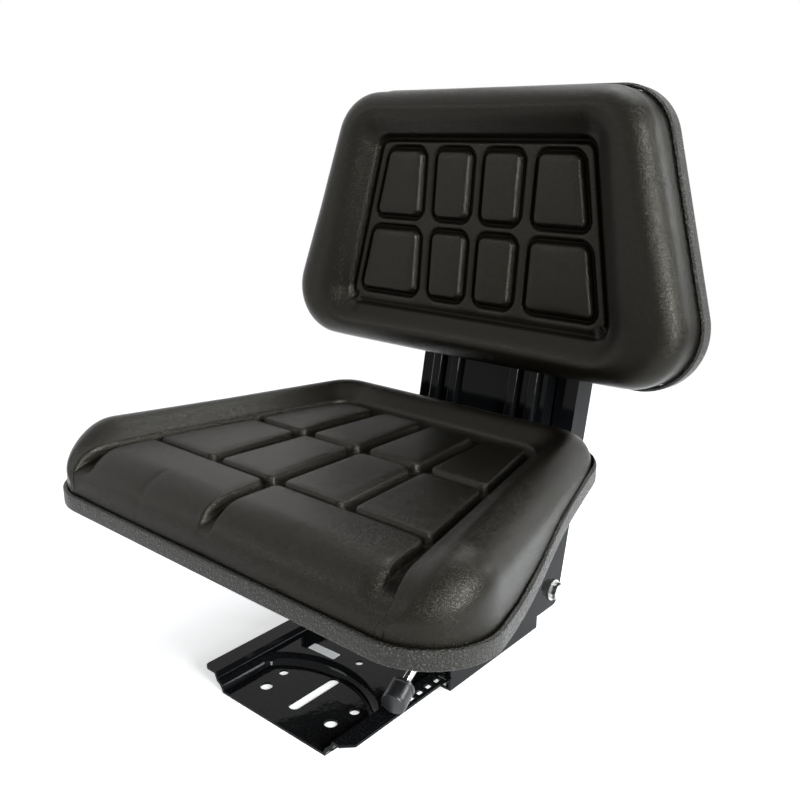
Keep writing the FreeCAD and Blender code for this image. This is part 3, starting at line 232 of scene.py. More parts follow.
def patches_group() -> ShaderNodeTree:
    """Large soft patches, for smudges, polish and uneven gloss."""
    made = GroupMaker("soft_patches", Patches_per_metre=9.0, Contrast=1.0)
    tree = made.tree
    noise = add_noise(tree, made.inputs["Patches per metre"], 6.0, Roughness=0.62)
    centred = add_math(tree, "SUBTRACT", noise, 0.5)
    made.out("Value", add_math(tree, "MULTIPLY", centred, made.inputs["Contrast"]))
    return tree


def settled_dust_group() -> ShaderNodeTree:
    """Mask of fine dust that lies on faces that look up."""
    made = GroupMaker("settled_dust", Amount=0.3)
    tree = made.tree
    normal = add_node(tree, "ShaderNodeNewGeometry").outputs["Normal"]
    height = add_node(tree, "ShaderNodeSeparateXYZ", {0: normal}).outputs["Z"]
    upward = add_node(tree, "ShaderNodeMapRange", {"Value": height, "From Min": 0.55})
    thin = add_node(tree, "ShaderNodeMapRange",
                    {"Value": add_noise(tree, 420.0, 8.0), "From Min": 0.5, "From Max": 0.8})
    dust = add_math(tree, "MULTIPLY", upward.outputs["Result"], thin.outputs["Result"])
    made.out("Mask", add_math(tree, "MULTIPLY", dust, made.inputs["Amount"]))
    return tree


class Surface:
    """One material's node tree, with a Principled shader and short ways to feed it."""

    def __init__(self, name: str) -> None:
        """Start a material under the given name."""
        self.material = bpy.data.materials.new(name)
        self.material.use_nodes = True
        self.tree = self.material.node_tree
        self.shader = self.tree.nodes["Principled BSDF"]

    def set(self, **values: object) -> None:
        """Set constant sockets of the shader, with _ for each space of a name."""
        for name, value in values.items():
            self.shader.inputs[name.replace("_", " ")].default_value = value

    def feed(self, source: NodeSocket, target: str) -> None:
        """Join a socket to one of the shader's inputs."""
        self.tree.links.new(source, self.shader.inputs[target])

    def group(self, tree: ShaderNodeTree, **values: float) -> Node:
        """Add a shared group with its own values, with _ for each space of a name."""
        feeds = {name.replace("_", " "): value for name, value in values.items()}
        return add_node(self.tree, "ShaderNodeGroup", feeds, node_tree=tree)

    def tinted(self, mask: NodeSocket, low: tuple, high: tuple,
               ends: tuple[float, float] = (0.0, 1.0)) -> None:
        """Feed the base colour from one colour to another.

        Args:
            mask: The value that the colour follows.
            low: The colour where the mask is at its first end or below.
            high: The colour where the mask is at its second end or above.
            ends: The mask's values between which the colour changes.
        """
        ramp = add_node(self.tree, "ShaderNodeValToRGB", {"Fac": mask})
        for element, place, colour in zip(ramp.color_ramp.elements, ends, (low, high)):
            element.position = place
            element.color = (*colour, 1.0)
        self.feed(ramp.outputs["Color"], "Base Color")

    def ranged(self, mask: NodeSocket, target: str, low: float, high: float) -> None:
        """Feed a number socket of the shader from low to high as the mask goes from 0 to 1."""
        span = add_node(self.tree, "ShaderNodeMapRange", {"Value": mask, "To Min": low, "To Max": high})
        self.feed(span.outputs["Result"], target)

    def bumped(self, height: NodeSocket, distance: float, strength: float = 1.0) -> None:
        """Feed the shader's normal from a height, after any bump that is there."""
        feeds = {"Height": height, "Distance": distance, "Strength": strength}
        target = self.shader.inputs["Normal"]
        if target.links:
            feeds["Normal"] = target.links[0].from_socket
        self.feed(add_node(self.tree, "ShaderNodeBump", feeds).outputs["Normal"], "Normal")

    def attribute(self, name: str) -> NodeSocket:
        """Add a mesh attribute and return its value."""
        return add_node(self.tree, "ShaderNodeAttribute", attribute_name=name).outputs["Fac"]

    def noise(self, scale: float, detail: float) -> NodeSocket:
        """Add a noise on the piece's own place and return its value."""
        return add_noise(self.tree, scale, detail)


@dataclass(frozen=True)
class SharedGroups:
    """The node groups that the finishes place in their materials."""

    grain: ShaderNodeTree
    patches: ShaderNodeTree
    dust: ShaderNodeTree


@dataclass(frozen=True)
class VinylFinish:
    """Black vinyl skin with a fine leather grain and a satin sheen, with painted shade on the groove floors
    and a painted warm tint on its reflections.
    """

    colour: tuple = (0.0042, 0.0037, 0.0026)
    worn: tuple = (0.0075, 0.0066, 0.0048)
    roughness: tuple = (0.22, 0.31)
    cells_per_metre: float = 900.0
    grain_depth: float = 0.0001
    sheen: float = 0.2
    # Sheen on the groove floors: painted shade, the reflection dimmed where the grooves lie in shade.
    groove_shade_sheen: float = 0.04
    # Warm tint on every reflection: painted warm light, so that the white surroundings reflect as a warm
    # room.
    painted_warm_light_tint: tuple = (1.0, 0.95, 0.83, 1.0)
    gloss_patches: tuple = (11.0, 1.6)
    ripples_per_metre: float = 60.0
    ripple_depth: float = 0.0003

    def build(self, shared: SharedGroups) -> Material:
        """Return the finished material."""
        made = Surface("black_vinyl")
        # Painted warm light: the reflections are tinted warm.
        made.set(Specular_Tint=self.painted_warm_light_tint)
        grain = made.group(shared.grain, Cells_per_metre=self.cells_per_metre)
        scale, contrast = self.gloss_patches
        patches = made.group(shared.patches, Patches_per_metre=scale, Contrast=contrast)
        made.tinted(grain.outputs["Crease"], self.worn, self.colour)
        # Painted shade: the sheen falls on the groove floors, marked by the sunk mask, so that they read
        # dark.
        made.ranged(made.attribute("sunk"), "Specular IOR Level", self.sheen, self.groove_shade_sheen)
        made.ranged(patches.outputs["Value"], "Roughness", *self.roughness)
        made.bumped(grain.outputs["Height"], self.grain_depth)
        made.bumped(made.noise(self.ripples_per_metre, 2.0), self.ripple_depth, 0.5)
        return made.material


@dataclass(frozen=True)
class EdgingFinish:
    """Charcoal rubber edging with a coarse, shiny grain, and a painted warm tint on its reflections."""

    colour: tuple = (0.006, 0.0057, 0.005)
    raised: tuple = (0.017, 0.0164, 0.0145)
    roughness: tuple = (0.2, 0.42)
    cells_per_metre: float = 330.0
    grain_depth: float = 0.0007
    sheen: float = 0.36
    # Warm tint on every reflection: painted warm light, so that the white surroundings reflect as a warm
    # room.
    painted_warm_light_tint: tuple = (1.0, 0.97, 0.9, 1.0)

    def build(self, shared: SharedGroups) -> Material:
        """Return the finished material."""
        made = Surface("grained_edging")
        # Painted warm light: the reflections are tinted warm.
        made.set(Specular_IOR_Level=self.sheen, Specular_Tint=self.painted_warm_light_tint)
        grain = made.group(shared.grain, Cells_per_metre=self.cells_per_metre)
        made.tinted(grain.outputs["Crease"], self.raised, self.colour)
        made.ranged(grain.outputs["Crease"], "Roughness", *self.roughness)
        made.bumped(grain.outputs["Height"], self.grain_depth)
        return made.material


@dataclass(frozen=True)
class EnamelFinish:
    """Black enamel on pressed steel, with orange peel, dust and uneven gloss."""

    name: str
    colour: tuple = (0.0045, 0.0047, 0.0052)
    roughness: tuple = (0.05, 0.13)
    dust: float = 0.08
    dust_colour: tuple = (0.16, 0.155, 0.145)
    sheen: float = 0.08
    coat: float = 0.05
    gloss_patches: tuple = (14.0, 2.0)
    waves: tuple = ((600.0, 0.00001), (60.0, 0.0002))

    def build(self, shared: SharedGroups) -> Material:
        """Return the finished material."""
        made = Surface(self.name)
        made.set(Specular_IOR_Level=self.sheen, Coat_Weight=self.coat, Coat_Roughness=0.05)
        dust = made.group(shared.dust, Amount=self.dust)
        scale, contrast = self.gloss_patches
        patches = made.group(shared.patches, Patches_per_metre=scale, Contrast=contrast)
        made.tinted(dust.outputs["Mask"], self.colour, self.dust_colour)
        made.ranged(patches.outputs["Value"], "Roughness", *self.roughness)
        for waves_per_metre, depth in self.waves:
            made.bumped(made.noise(waves_per_metre, 2.0), depth)
        return made.material


@dataclass(frozen=True)
class PlasticFinish:
    """Moulded plastic or rubber with faint marks and a fine matt texture."""

    name: str
    colour: tuple
    marks: tuple
    roughness: tuple
    texture_depth: float = 0.00005
    texture_per_metre: float = 1800.0
    marks_per_metre: float = 300.0
    marks_detail: float = 5.0
    mark_ends: tuple = (0.45, 0.8)
    gloss_patches: tuple = (60.0, 2.0)
    metallic: float = 0.0

    def build(self, shared: SharedGroups) -> Material:
        """Return the finished material."""
        made = Surface(self.name)
        made.set(Metallic=self.metallic)
        scale, contrast = self.gloss_patches
        patches = made.group(shared.patches, Patches_per_metre=scale, Contrast=contrast)
        marks = made.noise(self.marks_per_metre, self.marks_detail)
        made.tinted(marks, self.colour, self.marks, self.mark_ends)
        made.ranged(patches.outputs["Value"], "Roughness", *self.roughness)
        made.bumped(made.noise(self.texture_per_metre, 3.0), self.texture_depth)
        return made.material


@dataclass(frozen=True)
class MetalFinish(PlasticFinish):
    """Bare or plated steel, built in the same way, with stains and a clouded gloss."""

    texture_depth: float = 0.00002
    texture_per_metre: float = 2400.0
    marks_per_metre: float = 180.0
    marks_detail: float = 6.0
    mark_ends: tuple = (0.42, 0.75)
    gloss_patches: tuple = (120.0, 2.4)
    metallic: float = 1.0


class Finish(Enum):
    """The record's material slots, and the label's film, which is only in this script."""

    GLOSS_BLACK = "gloss_black"
    SATIN_BLACK = "satin_black"
    BLACK_VINYL = "black_vinyl"
    EDGING = "grained_edging"
    ZINC = "zinc_plate"
    SPRING = "spring_steel"
    POLISHED = "polished_steel"
    KNOB = "knob_plastic"
    NYLON = "glide_plastic"
    STOP = "stop_rubber"
    LABEL = "label_film"


def finishes() -> dict[Finish, Material]:
    """Build every finish once.

    Returns:
        The finished materials by slot.
    """
    shared = SharedGroups(leather_grain_group(), patches_group(), settled_dust_group())
    made = {
        Finish.GLOSS_BLACK: EnamelFinish("gloss_black"),
        Finish.SATIN_BLACK: EnamelFinish("satin_black", (0.008, 0.008, 0.0085), (0.28, 0.42), 0.15),
        Finish.BLACK_VINYL: VinylFinish(),
        Finish.EDGING: EdgingFinish(),
        Finish.ZINC: MetalFinish("zinc_plate", (0.62, 0.62, 0.6), (0.42, 0.42, 0.4), (0.2, 0.42)),
        Finish.SPRING: MetalFinish("spring_steel", (0.2, 0.2, 0.205), (0.1, 0.095, 0.09), (0.25, 0.45)),
        Finish.POLISHED: MetalFinish("polished_steel", (0.7, 0.7, 0.71), (0.6, 0.6, 0.6), (0.08, 0.16)),
        Finish.KNOB: PlasticFinish("knob_plastic", (0.012, 0.012, 0.0125), (0.02, 0.02, 0.02), (0.3, 0.45)),
        Finish.NYLON: PlasticFinish("glide_plastic", (0.62, 0.6, 0.54), (0.5, 0.47, 0.4), (0.4, 0.55)),
        Finish.STOP: PlasticFinish("stop_rubber", (0.014, 0.014, 0.014), (0.03, 0.03, 0.03), (0.6, 0.8),
                                   texture_depth=0.0001),
        Finish.LABEL: PlasticFinish("label_film", (0.8, 0.8, 0.79), (0.74, 0.74, 0.73), (0.35, 0.5),
                                    texture_depth=0.00001),
    }
    return {slot: finish.build(shared) for slot, finish in made.items()}


def dress(piece: Object, material: Material) -> None:
    """Give a piece one material and nothing else."""
    piece.data.materials.clear()
    piece.data.materials.append(material)


def dress_frame(materials: dict[Finish, Material]) -> None:
    """Give each CAD node the finish of its material slot."""
    for part in frame["record"]["subparts"]:
        node = frame["nodes"][part["node"]]
        dress(node, materials[Finish(part["material_slot"])])


# Padded pieces

@dataclass(frozen=True)
class Line:
    """A straight line along a cushion, by its half width at b = 0 and its taper."""

    start: float
    taper: float

    def at(self, b: float) -> float:
        """Return the half width of the line at b."""
        return self.start - self.taper * b

    def moved(self, offset: float) -> "Line":
        """Return the line moved outwards by an offset."""
        return Line(self.start + offset, self.taper)

    def mixed(self, other: "Line", share: float) -> "Line":
        """Return the line at a share of the way to another."""
        return Line(self.start + (other.start - self.start) * share,
                    self.taper + (other.taper - self.taper) * share)


@dataclass(frozen=True)
class Outline:
    """Trapezoid with rounded corners, symmetric about a = 0."""

    side: Line
    low: float
    high: float
    low_radius: float
    high_radius: float

    def lean(self) -> float:
        """Return the length of the side's direction for one unit of b."""
        return math.hypot(1.0, self.side.taper)

    def corner(self, b: float, radius: float, sign: int) -> tuple[float, float]:
        """Return the centre of the corner arc at an end, sign 1 at the low one."""
        centre_b = b + sign * radius
        return self.side.at(centre_b) - radius * self.lean(), centre_b

    def depth(self, a: np.ndarray, b: np.ndarray) -> np.ndarray:
        """Return how far each point lies inside the outline.

        Args:
            a: Places across.
            b: Places along.

        Returns:
            Distances to the nearest side, end or corner arc, negative outside.
        """
        a = np.abs(a)
        from_side = (self.side.at(b) - a) / self.lean()
        depth = np.minimum(from_side, np.minimum(b - self.low, self.high - b))
        for edge, radius, sign in ((self.low, self.low_radius, 1), (self.high, self.high_radius, -1)):
            centre_a, centre_b = self.corner(edge, radius, sign)
            da = a - centre_a
            db = (centre_b - b) * sign
            in_corner = (da > 0) & (db > -self.side.taper * sign * da)
            depth = np.where(in_corner, radius - np.hypot(da, db), depth)
        return depth

    def right_side(self, low_a: float, high_a: float, count: int) -> list[tuple[float, float]]:
        """Return points round the right side, from the low edge to the high edge.

        Args:
            low_a: Where on the low edge the points start.
            high_a: Where on the high edge they end.
            count: How many points to space evenly.

        Returns:
            Points (a, b) along the outline, both ends included.
        """
        path = [(low_a, self.low)]
        normal = math.atan2(self.side.taper, 1.0)
        steps = 24
        for edge, radius, sign in ((self.low, self.low_radius, 1), (self.high, self.high_radius, -1)):
            centre_a, centre_b = self.corner(edge, radius, sign)
            first, last = (-math.pi / 2, normal) if sign > 0 else (normal, math.pi / 2)
            for step in range(steps + 1):
                angle = first + (last - first) * step / steps
                path.append((centre_a + radius * math.cos(angle), centre_b + radius * math.sin(angle)))
        path.append((high_a, self.high))
        lengths = [0.0]
        for before, after in zip(path, path[1:]):
            lengths.append(lengths[-1] + math.dist(before, after))
        wanted = np.linspace(0.0, lengths[-1], count)
        return list(zip(np.interp(wanted, lengths, [p[0] for p in path]),
                        np.interp(wanted, lengths, [p[1] for p in path])))


@dataclass(frozen=True)
class Rim:
    """Sizes of a cushion's outline, from which its skin and its bead are set in."""

    half_width: float
    widest_at: float
    taper: float
    low: float
    high: float
    low_radius: float
    high_radius: float

    def set_in(self, inset: float) -> Outline:
        """Return the outline moved inwards by an inset all round."""
        start = self.half_width + self.taper * self.widest_at - inset * math.hypot(1.0, self.taper)
        return Outline(Line(start, self.taper), self.low + inset, self.high - inset,
                       self.low_radius - inset, self.high_radius - inset)


SEAT_RIM = Rim(half_width=0.242, widest_at=-0.155, taper=0.27, low=-0.219, high=0.131,
               low_radius=0.06, high_radius=0.048)
BACKREST_RIM = Rim(half_width=0.26, widest_at=-0.054, taper=0.084 / 0.273, low=-0.054, high=0.219,
                   low_radius=0.058, high_radius=0.056)
SKIN_INSET = 0.0043
BEAD_INSET = 0.0021


@dataclass(frozen=True)
class Pad:
    """One raised pad on the right half: its two side lines and its two ends."""

    inner: Line
    outer: Line
    low: float
    high: float

    def inside(self, a: np.ndarray, b: np.ndarray, corner: float) -> np.ndarray:
        """Return how far each place lies inside the pad, round its corners."""
        from_side = np.minimum(a - self.inner.at(b), self.outer.at(b) - a)
        from_end = np.minimum(b - self.low, self.high - b)
        rounded = corner - np.hypot(np.maximum(corner - from_side, 0), np.maximum(corner - from_end, 0))
        near_edge = (from_side < corner) | (from_end < corner)
        return np.where(near_edge, rounded, np.minimum(from_side, from_end))


def band(width: float, step: float) -> list[float]:
    """Return steps from inside a groove to a band's width inside an edge."""
    into_groove = 0.0045
    return [float(value) for value in np.arange(-into_groove, width, step)]


def thinned(places: list[float], gap: float) -> list[float]:
    """Return the places in order, without those closer than the gap to the last."""
    kept = []
    for place in sorted(places):
        if not kept or place > kept[-1] + gap:
            kept.append(place)
    return kept


@dataclass
class WaffleCushion:
    """A moulded cushion: raised pads in a sunk field, inside a rolled border.

    Positions are (a, b, h): a across, b along and h square to the field, with the
    pads' tops at field_height.
    """

    name: str
    node: str
    place: Matrix
    outline: Outline
    pads: list[Pad]
    guides: list[tuple[Line, Line]]
    field_side: Line
    field_ends: tuple[float, float]
    field_radius: float
    field_height: float
    groove: float
    bottom: float
    swell: float
    press_from: float = 0.004
    # Groove depth shares over which the sunk mask, and with it the painted groove shade, comes in.
    full_depth: tuple = (0.6, 1.0)
    held_below: float = 0.6
    evening: float = 0.6
    hem: float = 0.012
    last_frame: int = 14
    stiffness: float = 30.0
    pressure: float = 4.0
    border_rise: float = 0.03
    pad_roll: float = 0.0038
    pad_corner: float = 0.009
    land: float = 0.0
    land_gap: float = 0.0034
    land_roll: float = 0.0015
    band_width: float = 0.0095
    fine: float = 0.0014
    coarse: float = 0.006
    least_gap: float = 0.7
    corner_spread: float = 1.4
    ring_room: float = 1.6
    ring_steps: tuple = (0.0012, 0.0024, 0.0037, 0.0052, 0.007, 0.0095, 0.013)
    ring_shares: tuple = (0.12, 0.25, 0.38, 0.5, 0.61, 0.71, 0.8, 0.87, 0.92, 0.96, 0.985, 1.0)
    wall_shares: tuple = (0.12, 0.3, 0.5, 0.7, 0.88, 1.0)

    def crest(self, a: np.ndarray, b: np.ndarray) -> np.ndarray:
        """Return the height that the border rises to at each place."""
        raise NotImplementedError

    def edge_drop(self, a: np.ndarray, b: np.ndarray) -> np.ndarray:
        """Return how far the surface has rolled down near the outline."""
        raise NotImplementedError

    def fade(self, points: np.ndarray) -> np.ndarray:
        """Return how much of the groove's depth is there, from 0 to 1."""
        return np.ones(len(points))

    def lines_across(self) -> list[Line]:
        """Return the mesh lines that run along the cushion, from its middle out.

        Returns:
            Lines close together beside each groove, and further apart between them.
        """
        keys = [Line(0.0, 0.0), self.field_side]
        for inner, outer in self.guides:
            keys += [inner.moved(step) for step in band(self.band_width, self.fine)]
            keys += [outer.moved(-step) for step in band(self.band_width, self.fine)]
        keys += [self.field_side.moved(-step) for step in band(self.band_width, self.fine)]
        keys = [key for key in keys if 0 <= key.start <= self.field_side.start]
        keys.sort(key=lambda key: key.start)
        kept = [keys[0]]
        for key in keys[1:]:
            if key.start > kept[-1].start + self.fine * self.least_gap:
                kept.append(key)
        kept[-1] = self.field_side
        filled = [kept[0]]
        for before, after in zip(kept, kept[1:]):
            steps = max(1, math.ceil((after.start - before.start) / self.coarse))
            filled += [before.mixed(after, step / steps) for step in range(1, steps + 1)]
        return filled

    def places_along(self) -> list[float]:
        """Return the places along the cushion where mesh lines cross it.

        Returns:
            Places close together beside each groove, and further apart between them.
        """
        low, high = self.field_ends
        keys = [low, high] + [high - step for step in band(self.field_radius, self.fine * self.corner_spread)]
        keys += self.front_places()
        for pad in self.pads:
            keys += [pad.low + step for step in band(self.band_width, self.fine)]
            keys += [pad.high - step for step in band(self.band_width, self.fine)]
        kept = thinned([key for key in keys if low <= key <= high], self.fine * self.least_gap)
        kept[-1] = high
        filled = [kept[0]]
        for before, after in zip(kept, kept[1:]):
            steps = max(1, math.ceil((after - before) / self.coarse))
            filled += [before + (after - before) * step / steps for step in range(1, steps + 1)]
        return filled

    def base_height(self, a: np.ndarray, b: np.ndarray) -> np.ndarray:
        """Return the smooth surface before any groove is pressed into it."""
        outside = np.maximum(self.field_outside(a, b), 0.0)
        rise = smooth_step(outside, 0.0, self.border_rise)
        top = self.field_height + (self.crest(a, b) - self.field_height) * rise
        return top - self.edge_drop(a, b)

    def field_outside(self, a: np.ndarray, b: np.ndarray) -> np.ndarray:
        """Return how far each place lies outside the sunk field."""
        low, high = self.field_ends
        shape = Outline(self.field_side, low, high, self.field_radius, self.field_radius)
        return -shape.depth(a, b)

    def raised(self, a: np.ndarray, b: np.ndarray) -> np.ndarray:
        """Return 1 on pads and border, and 0 on the floor of the grooves.

        Args:
            a: Places across the cushion.
            b: Places along it.

        Returns:
            A value for each place, with rolled edges between 0 and 1.
        """
        a = np.abs(a)
        outside = self.field_outside(a, b)
        best = rolled_edge(outside, self.pad_roll)
        nearest = -outside
        for pad in self.pads:
            inside = pad.inside(a, b, self.pad_corner)
            best = np.maximum(best, rolled_edge(inside, self.pad_roll))
            nearest = np.minimum(nearest, -inside)
        if self.land:
            best = np.maximum(best, self.land * rolled_edge(nearest - self.land_gap, self.land_roll))
        return best

    def half_mesh(self) -> tuple[list, list]:
        """Model the right half of the skin, before the grooves.

        Returns:
            Its points, and its faces: the field, the rings round it and the wall.
        """
        lines = self.lines_across()
        along = self.places_along()
        plan = [(line.at(b), b) for b in along for line in lines]
        faces, rim = self.grid(len(along), len(lines))
        low_ends, high_ends = [[(line.at(b), b) for line in lines]
                               for b in (self.outline.low, self.outline.high)]
        side = self.outline.right_side(low_ends[-1][0], high_ends[-1][0], len(along))
        targets = low_ends + side[1:] + high_ends[-2::-1]
        for ring_plan in self.rings([plan[number] for number in rim], targets):
            rim = self.next_ring(rim, len(plan), faces)
            plan += ring_plan
        a, b = np.array(plan).T
        points = [(x, y, z) for (x, y), z in zip(plan, self.base_height(a, b))]
        top = [points[number] for number in rim]
        for share in self.wall_shares:
            rim = self.next_ring(rim, len(points), faces)
            points += [(a, b, h + (self.floor_at(a, b) - h) * share) for a, b, h in top]
        return points, faces

    @staticmethod
    def grid(rows: int, columns: int) -> tuple[list, list]:
        """Return a grid's faces, and its points along the low, right and high sides in turn."""
        faces = []
        for row in range(rows - 1):
            for column in range(columns - 1):
                first = row * columns + column
                faces.append((first, first + 1, first + columns + 1, first + columns))
        rim = list(range(columns))
        rim += [row * columns + columns - 1 for row in range(1, rows)]
        rim += [(rows - 1) * columns + column for column in range(columns - 2, -1, -1)]
        return faces, rim

    @staticmethod
    def next_ring(before: list[int], first: int, faces: list) -> list[int]:
        """Join a ring of points to the next one, which starts at first, and return the next."""
        ring = list(range(first, first + len(before)))
        faces += list(zip(before[1:], before, ring, ring[1:]))
        return ring

    def front_places(self) -> list[float]:
        """Return extra places for mesh lines near the front."""
        return []

    def rings(self, starts: list, ends: list) -> list[list[tuple[float, float]]]:
        """Return rings of plan points that go from the field's rim to the outline.

        Args:
            starts: Points (a, b) of the rim.
            ends: The outline's points that they lead to.

        Returns:
            One list of points for each ring, from the inside out.
        """
        full = self.ring_steps[-1] * self.ring_room
        near = [[self.towards(start, end, step * min(1.0, math.dist(start, end) / full))
                 for start, end in zip(starts, ends)] for step in self.ring_steps]
        last = near[-1]
        far = [[self.towards(start, end, math.dist(start, end) * share) for start, end in zip(last, ends)]
               for share in self.ring_shares]
        return near + far

    @staticmethod
    def towards(start: tuple, end: tuple, distance: float) -> tuple[float, float]:
        """Return the point a distance on the way from start to end."""
        length = max(math.dist(start, end), 1e-9)
        share = min(distance / length, 1.0)
        return start[0] + (end[0] - start[0]) * share, start[1] + (end[1] - start[1]) * share

    def floor_at(self, a: float, b: float) -> float:
        """Return the height where the skin ends, behind the edging."""
        return self.bottom

    def press_grooves(self, piece: Object) -> np.ndarray:
        """Sink the grooves along the surface's own normals, and return the raised mask.

        Args:
            piece: The smooth skin, with its bottom open.

        Returns:
            1 for each point on a pad or the border, 0 on a groove's floor.
        """
        points = read_points(piece)
        normals = point_normals(piece)
        raised = self.raised(points[:, 0], points[:, 1])
        depth = self.groove * (1 - raised) * self.fade(points)
        depth = np.where(self.on_top(points), depth, 0.0)
        write_points(piece, points - normals * depth[:, None])
        # The sunk mask marks the groove floors, where the vinyl paints shade by dimming its sheen.
        sunk = piece.data.attributes.new("sunk", "FLOAT", "POINT")
        floor = smooth_step(depth / self.groove, *self.full_depth)
        sunk.data.foreach_set("value", floor.astype(np.float32))
        return raised

    def on_top(self, points: np.ndarray) -> np.ndarray:
        """Return which points may be pressed in."""
        return points[:, 2] > self.bottom + self.press_from

    def evened(self, piece: Object, moves: np.ndarray, rounds: int = 10) -> np.ndarray:
        """Average each corner's move with its neighbours', so that no small creases stay.

        Args:
            piece: The cushion whose edges join the corners.
            moves: One move for each corner, in metres.
            rounds: How often the averaging is repeated.

        Returns:
            The evened moves, in metres.
        """
        ends = np.empty(len(piece.data.edges) * 2, dtype=np.int32)
        piece.data.edges.foreach_get("vertices", ends)
        first, second = ends.reshape(-1, 2).T
        count = np.bincount(ends, minlength=len(moves))[:, None]
        for _ in range(rounds):
            total = np.zeros_like(moves)
            np.add.at(total, first, moves[second])
            np.add.at(total, second, moves[first])
            moves = (1 - self.evening) * moves + self.evening * total / np.maximum(count, 1)
        return moves

    def inflate(self, piece: Object, raised: np.ndarray) -> None:
        """Let the padding swell the skin a little between its pressed grooves.

        Args:
            piece: The cushion, with its grooves pressed in and its bottom open.
            raised: 1 for each point on a pad or the border, 0 on a groove's floor.
        """
        rest = read_points(piece)
        hem = rest[:, 2] < self.bottom + self.hem
        held = np.where((raised < self.held_below) | hem, 1.0, 0.0)
        group = piece.vertex_groups.new(name="held")
        for number in np.flatnonzero(held):
            group.add([int(number)], 1.0, "REPLACE")
        make_active(piece)
        cloth = piece.modifiers.new("Cloth", "CLOTH")
        cloth.settings.quality = 4
        cloth.settings.vertex_group_mass = "held"
        cloth.settings.use_pressure = True
        cloth.settings.uniform_pressure_force = self.pressure
        cloth.settings.tension_stiffness = self.stiffness
        cloth.settings.compression_stiffness = self.stiffness
        cloth.settings.effector_weights.gravity = 0.0
        scene = bpy.context.scene
        scene.frame_start, scene.frame_end = 1, self.last_frame
        cloth.point_cache.frame_start, cloth.point_cache.frame_end = 1, self.last_frame
        for step in range(1, self.last_frame + 1):
            scene.frame_set(step)
        bpy.ops.object.modifier_apply(modifier=cloth.name)
        scene.frame_set(1)
        moved = self.evened(piece, read_points(piece) - rest) * (1.0 - held)[:, None]
        length = np.linalg.norm(moved, axis=1)
        capped = self.swell * np.tanh(length / self.swell)
        share = np.divide(capped, length, out=np.zeros_like(length), where=length > 1e-9)
        write_points(piece, rest + moved * share[:, None])
        piece.vertex_groups.clear()

    @staticmethod
    def close_bottom(piece: Object) -> None:
        """Fill the open bottom of the skin with one face."""
        make_active(piece)
        bpy.ops.object.mode_set(mode="EDIT")
        bpy.ops.mesh.select_all(action="DESELECT")
        bpy.ops.mesh.select_non_manifold(extend=False, use_boundary=True)
        bpy.ops.mesh.edge_face_add()
        bpy.ops.object.mode_set(mode="OBJECT")

    def build(self, material: Material) -> Object:
        """Model the cushion, swell it, and set it on its body.

        Args:
            material: The vinyl finish.

        Returns:
            The finished piece, which stands for the CAD cushion.
        """
        points, faces = self.half_mesh()
        piece = mesh_piece(self.name, points, faces)
        apply_modifier(piece, "MIRROR", use_clip=True, merge_threshold=TOUCHING)
        raised = self.press_grooves(piece)
        self.inflate(piece, raised)
        apply_modifier(piece, "SUBSURF", levels=1, render_levels=1)
        self.close_bottom(piece)
        shade_smooth(piece, 180.0)
        piece.data.transform(self.place)
        dress(piece, material)
        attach(piece, "carriage")
        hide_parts(self.node)
        LOG.info("%s has %d faces", self.name, len(piece.data.polygons))
        return piece


@dataclass
class SeatCushion(WaffleCushion):
    """The seat: its border sinks to the pads at the front, where the pads roll over."""

    side_roll: float = 0.026
    front_roll: float = 0.038
    border_height: float = 0.245
    fall: tuple = (-0.15, -0.212)
    fade_from: float = -0.17
    groove_end: tuple = (0.205, 0.226)
    tuck: float = 0.004
    open_end: float = -0.6
    trim_line: tuple = ((-0.232, 0.175), (-0.157, 0.1725), (-0.107, 0.1715), (-0.06, 0.179),
                        (-0.01, 0.193), (0.05, 0.2), (0.145, 0.208))

    def crest(self, a: np.ndarray, b: np.ndarray) -> np.ndarray:
        """Return the border's height, falling towards the front."""
        share = 1 - smooth_step(-b, -self.fall[0], -self.fall[1])
        return self.field_height + (self.border_height - self.field_height) * share

    def edge_drop(self, a: np.ndarray, b: np.ndarray) -> np.ndarray:
        """Return the larger of the side roll and the front roll."""
        depth = self.outline.depth(a, b)
        side = self.side_roll * (1 - rolled_edge(depth, self.side_roll))
        front = self.front_roll * (1 - rolled_edge(b - self.outline.low, self.front_roll))
        return np.maximum(side, front)

    def front_places(self) -> list[float]:
        """Space the mesh lines evenly round the front roll."""
        angles = np.linspace(0.06, math.pi / 2, 24)
        return [float(self.outline.low + self.front_roll * (1 - math.cos(angle))) for angle in angles]

    def fade(self, points: np.ndarray) -> np.ndarray:
        """End the grooves part way down the front."""
        return np.where(points[:, 1] < self.fade_from, smooth_step(points[:, 2], *self.groove_end), 1.0)

    def floor_at(self, a: float, b: float) -> float:
        """Follow the edging's rise towards the back."""
        return float(along_line(b, self.trim_line)) + self.tuck

    def field_outside(self, a: np.ndarray, b: np.ndarray) -> np.ndarray:
        """Leave the field open at the front."""
        shape = Outline(self.field_side, self.open_end, self.field_ends[1], self.field_radius,
                        self.field_radius)
        return -shape.depth(a, b)

    def on_top(self, points: np.ndarray) -> np.ndarray:
        """Return every point above the end of the front grooves."""
        return points[:, 2] > self.groove_end[0]


@dataclass
class BackrestCushion(WaffleCushion):
    """The backrest: a closed field with a raised land between its pads."""

    roll: float = 0.024
    border_height: float = 0.025

    def crest(self, a: np.ndarray, b: np.ndarray) -> np.ndarray:
        """Return the height of the rolled border."""
        return np.full(len(a), self.border_height)

    def edge_drop(self, a: np.ndarray, b: np.ndarray) -> np.ndarray:
        """Return the roll at the outline."""
        return self.roll * (1 - rolled_edge(self.outline.depth(a, b), self.roll))


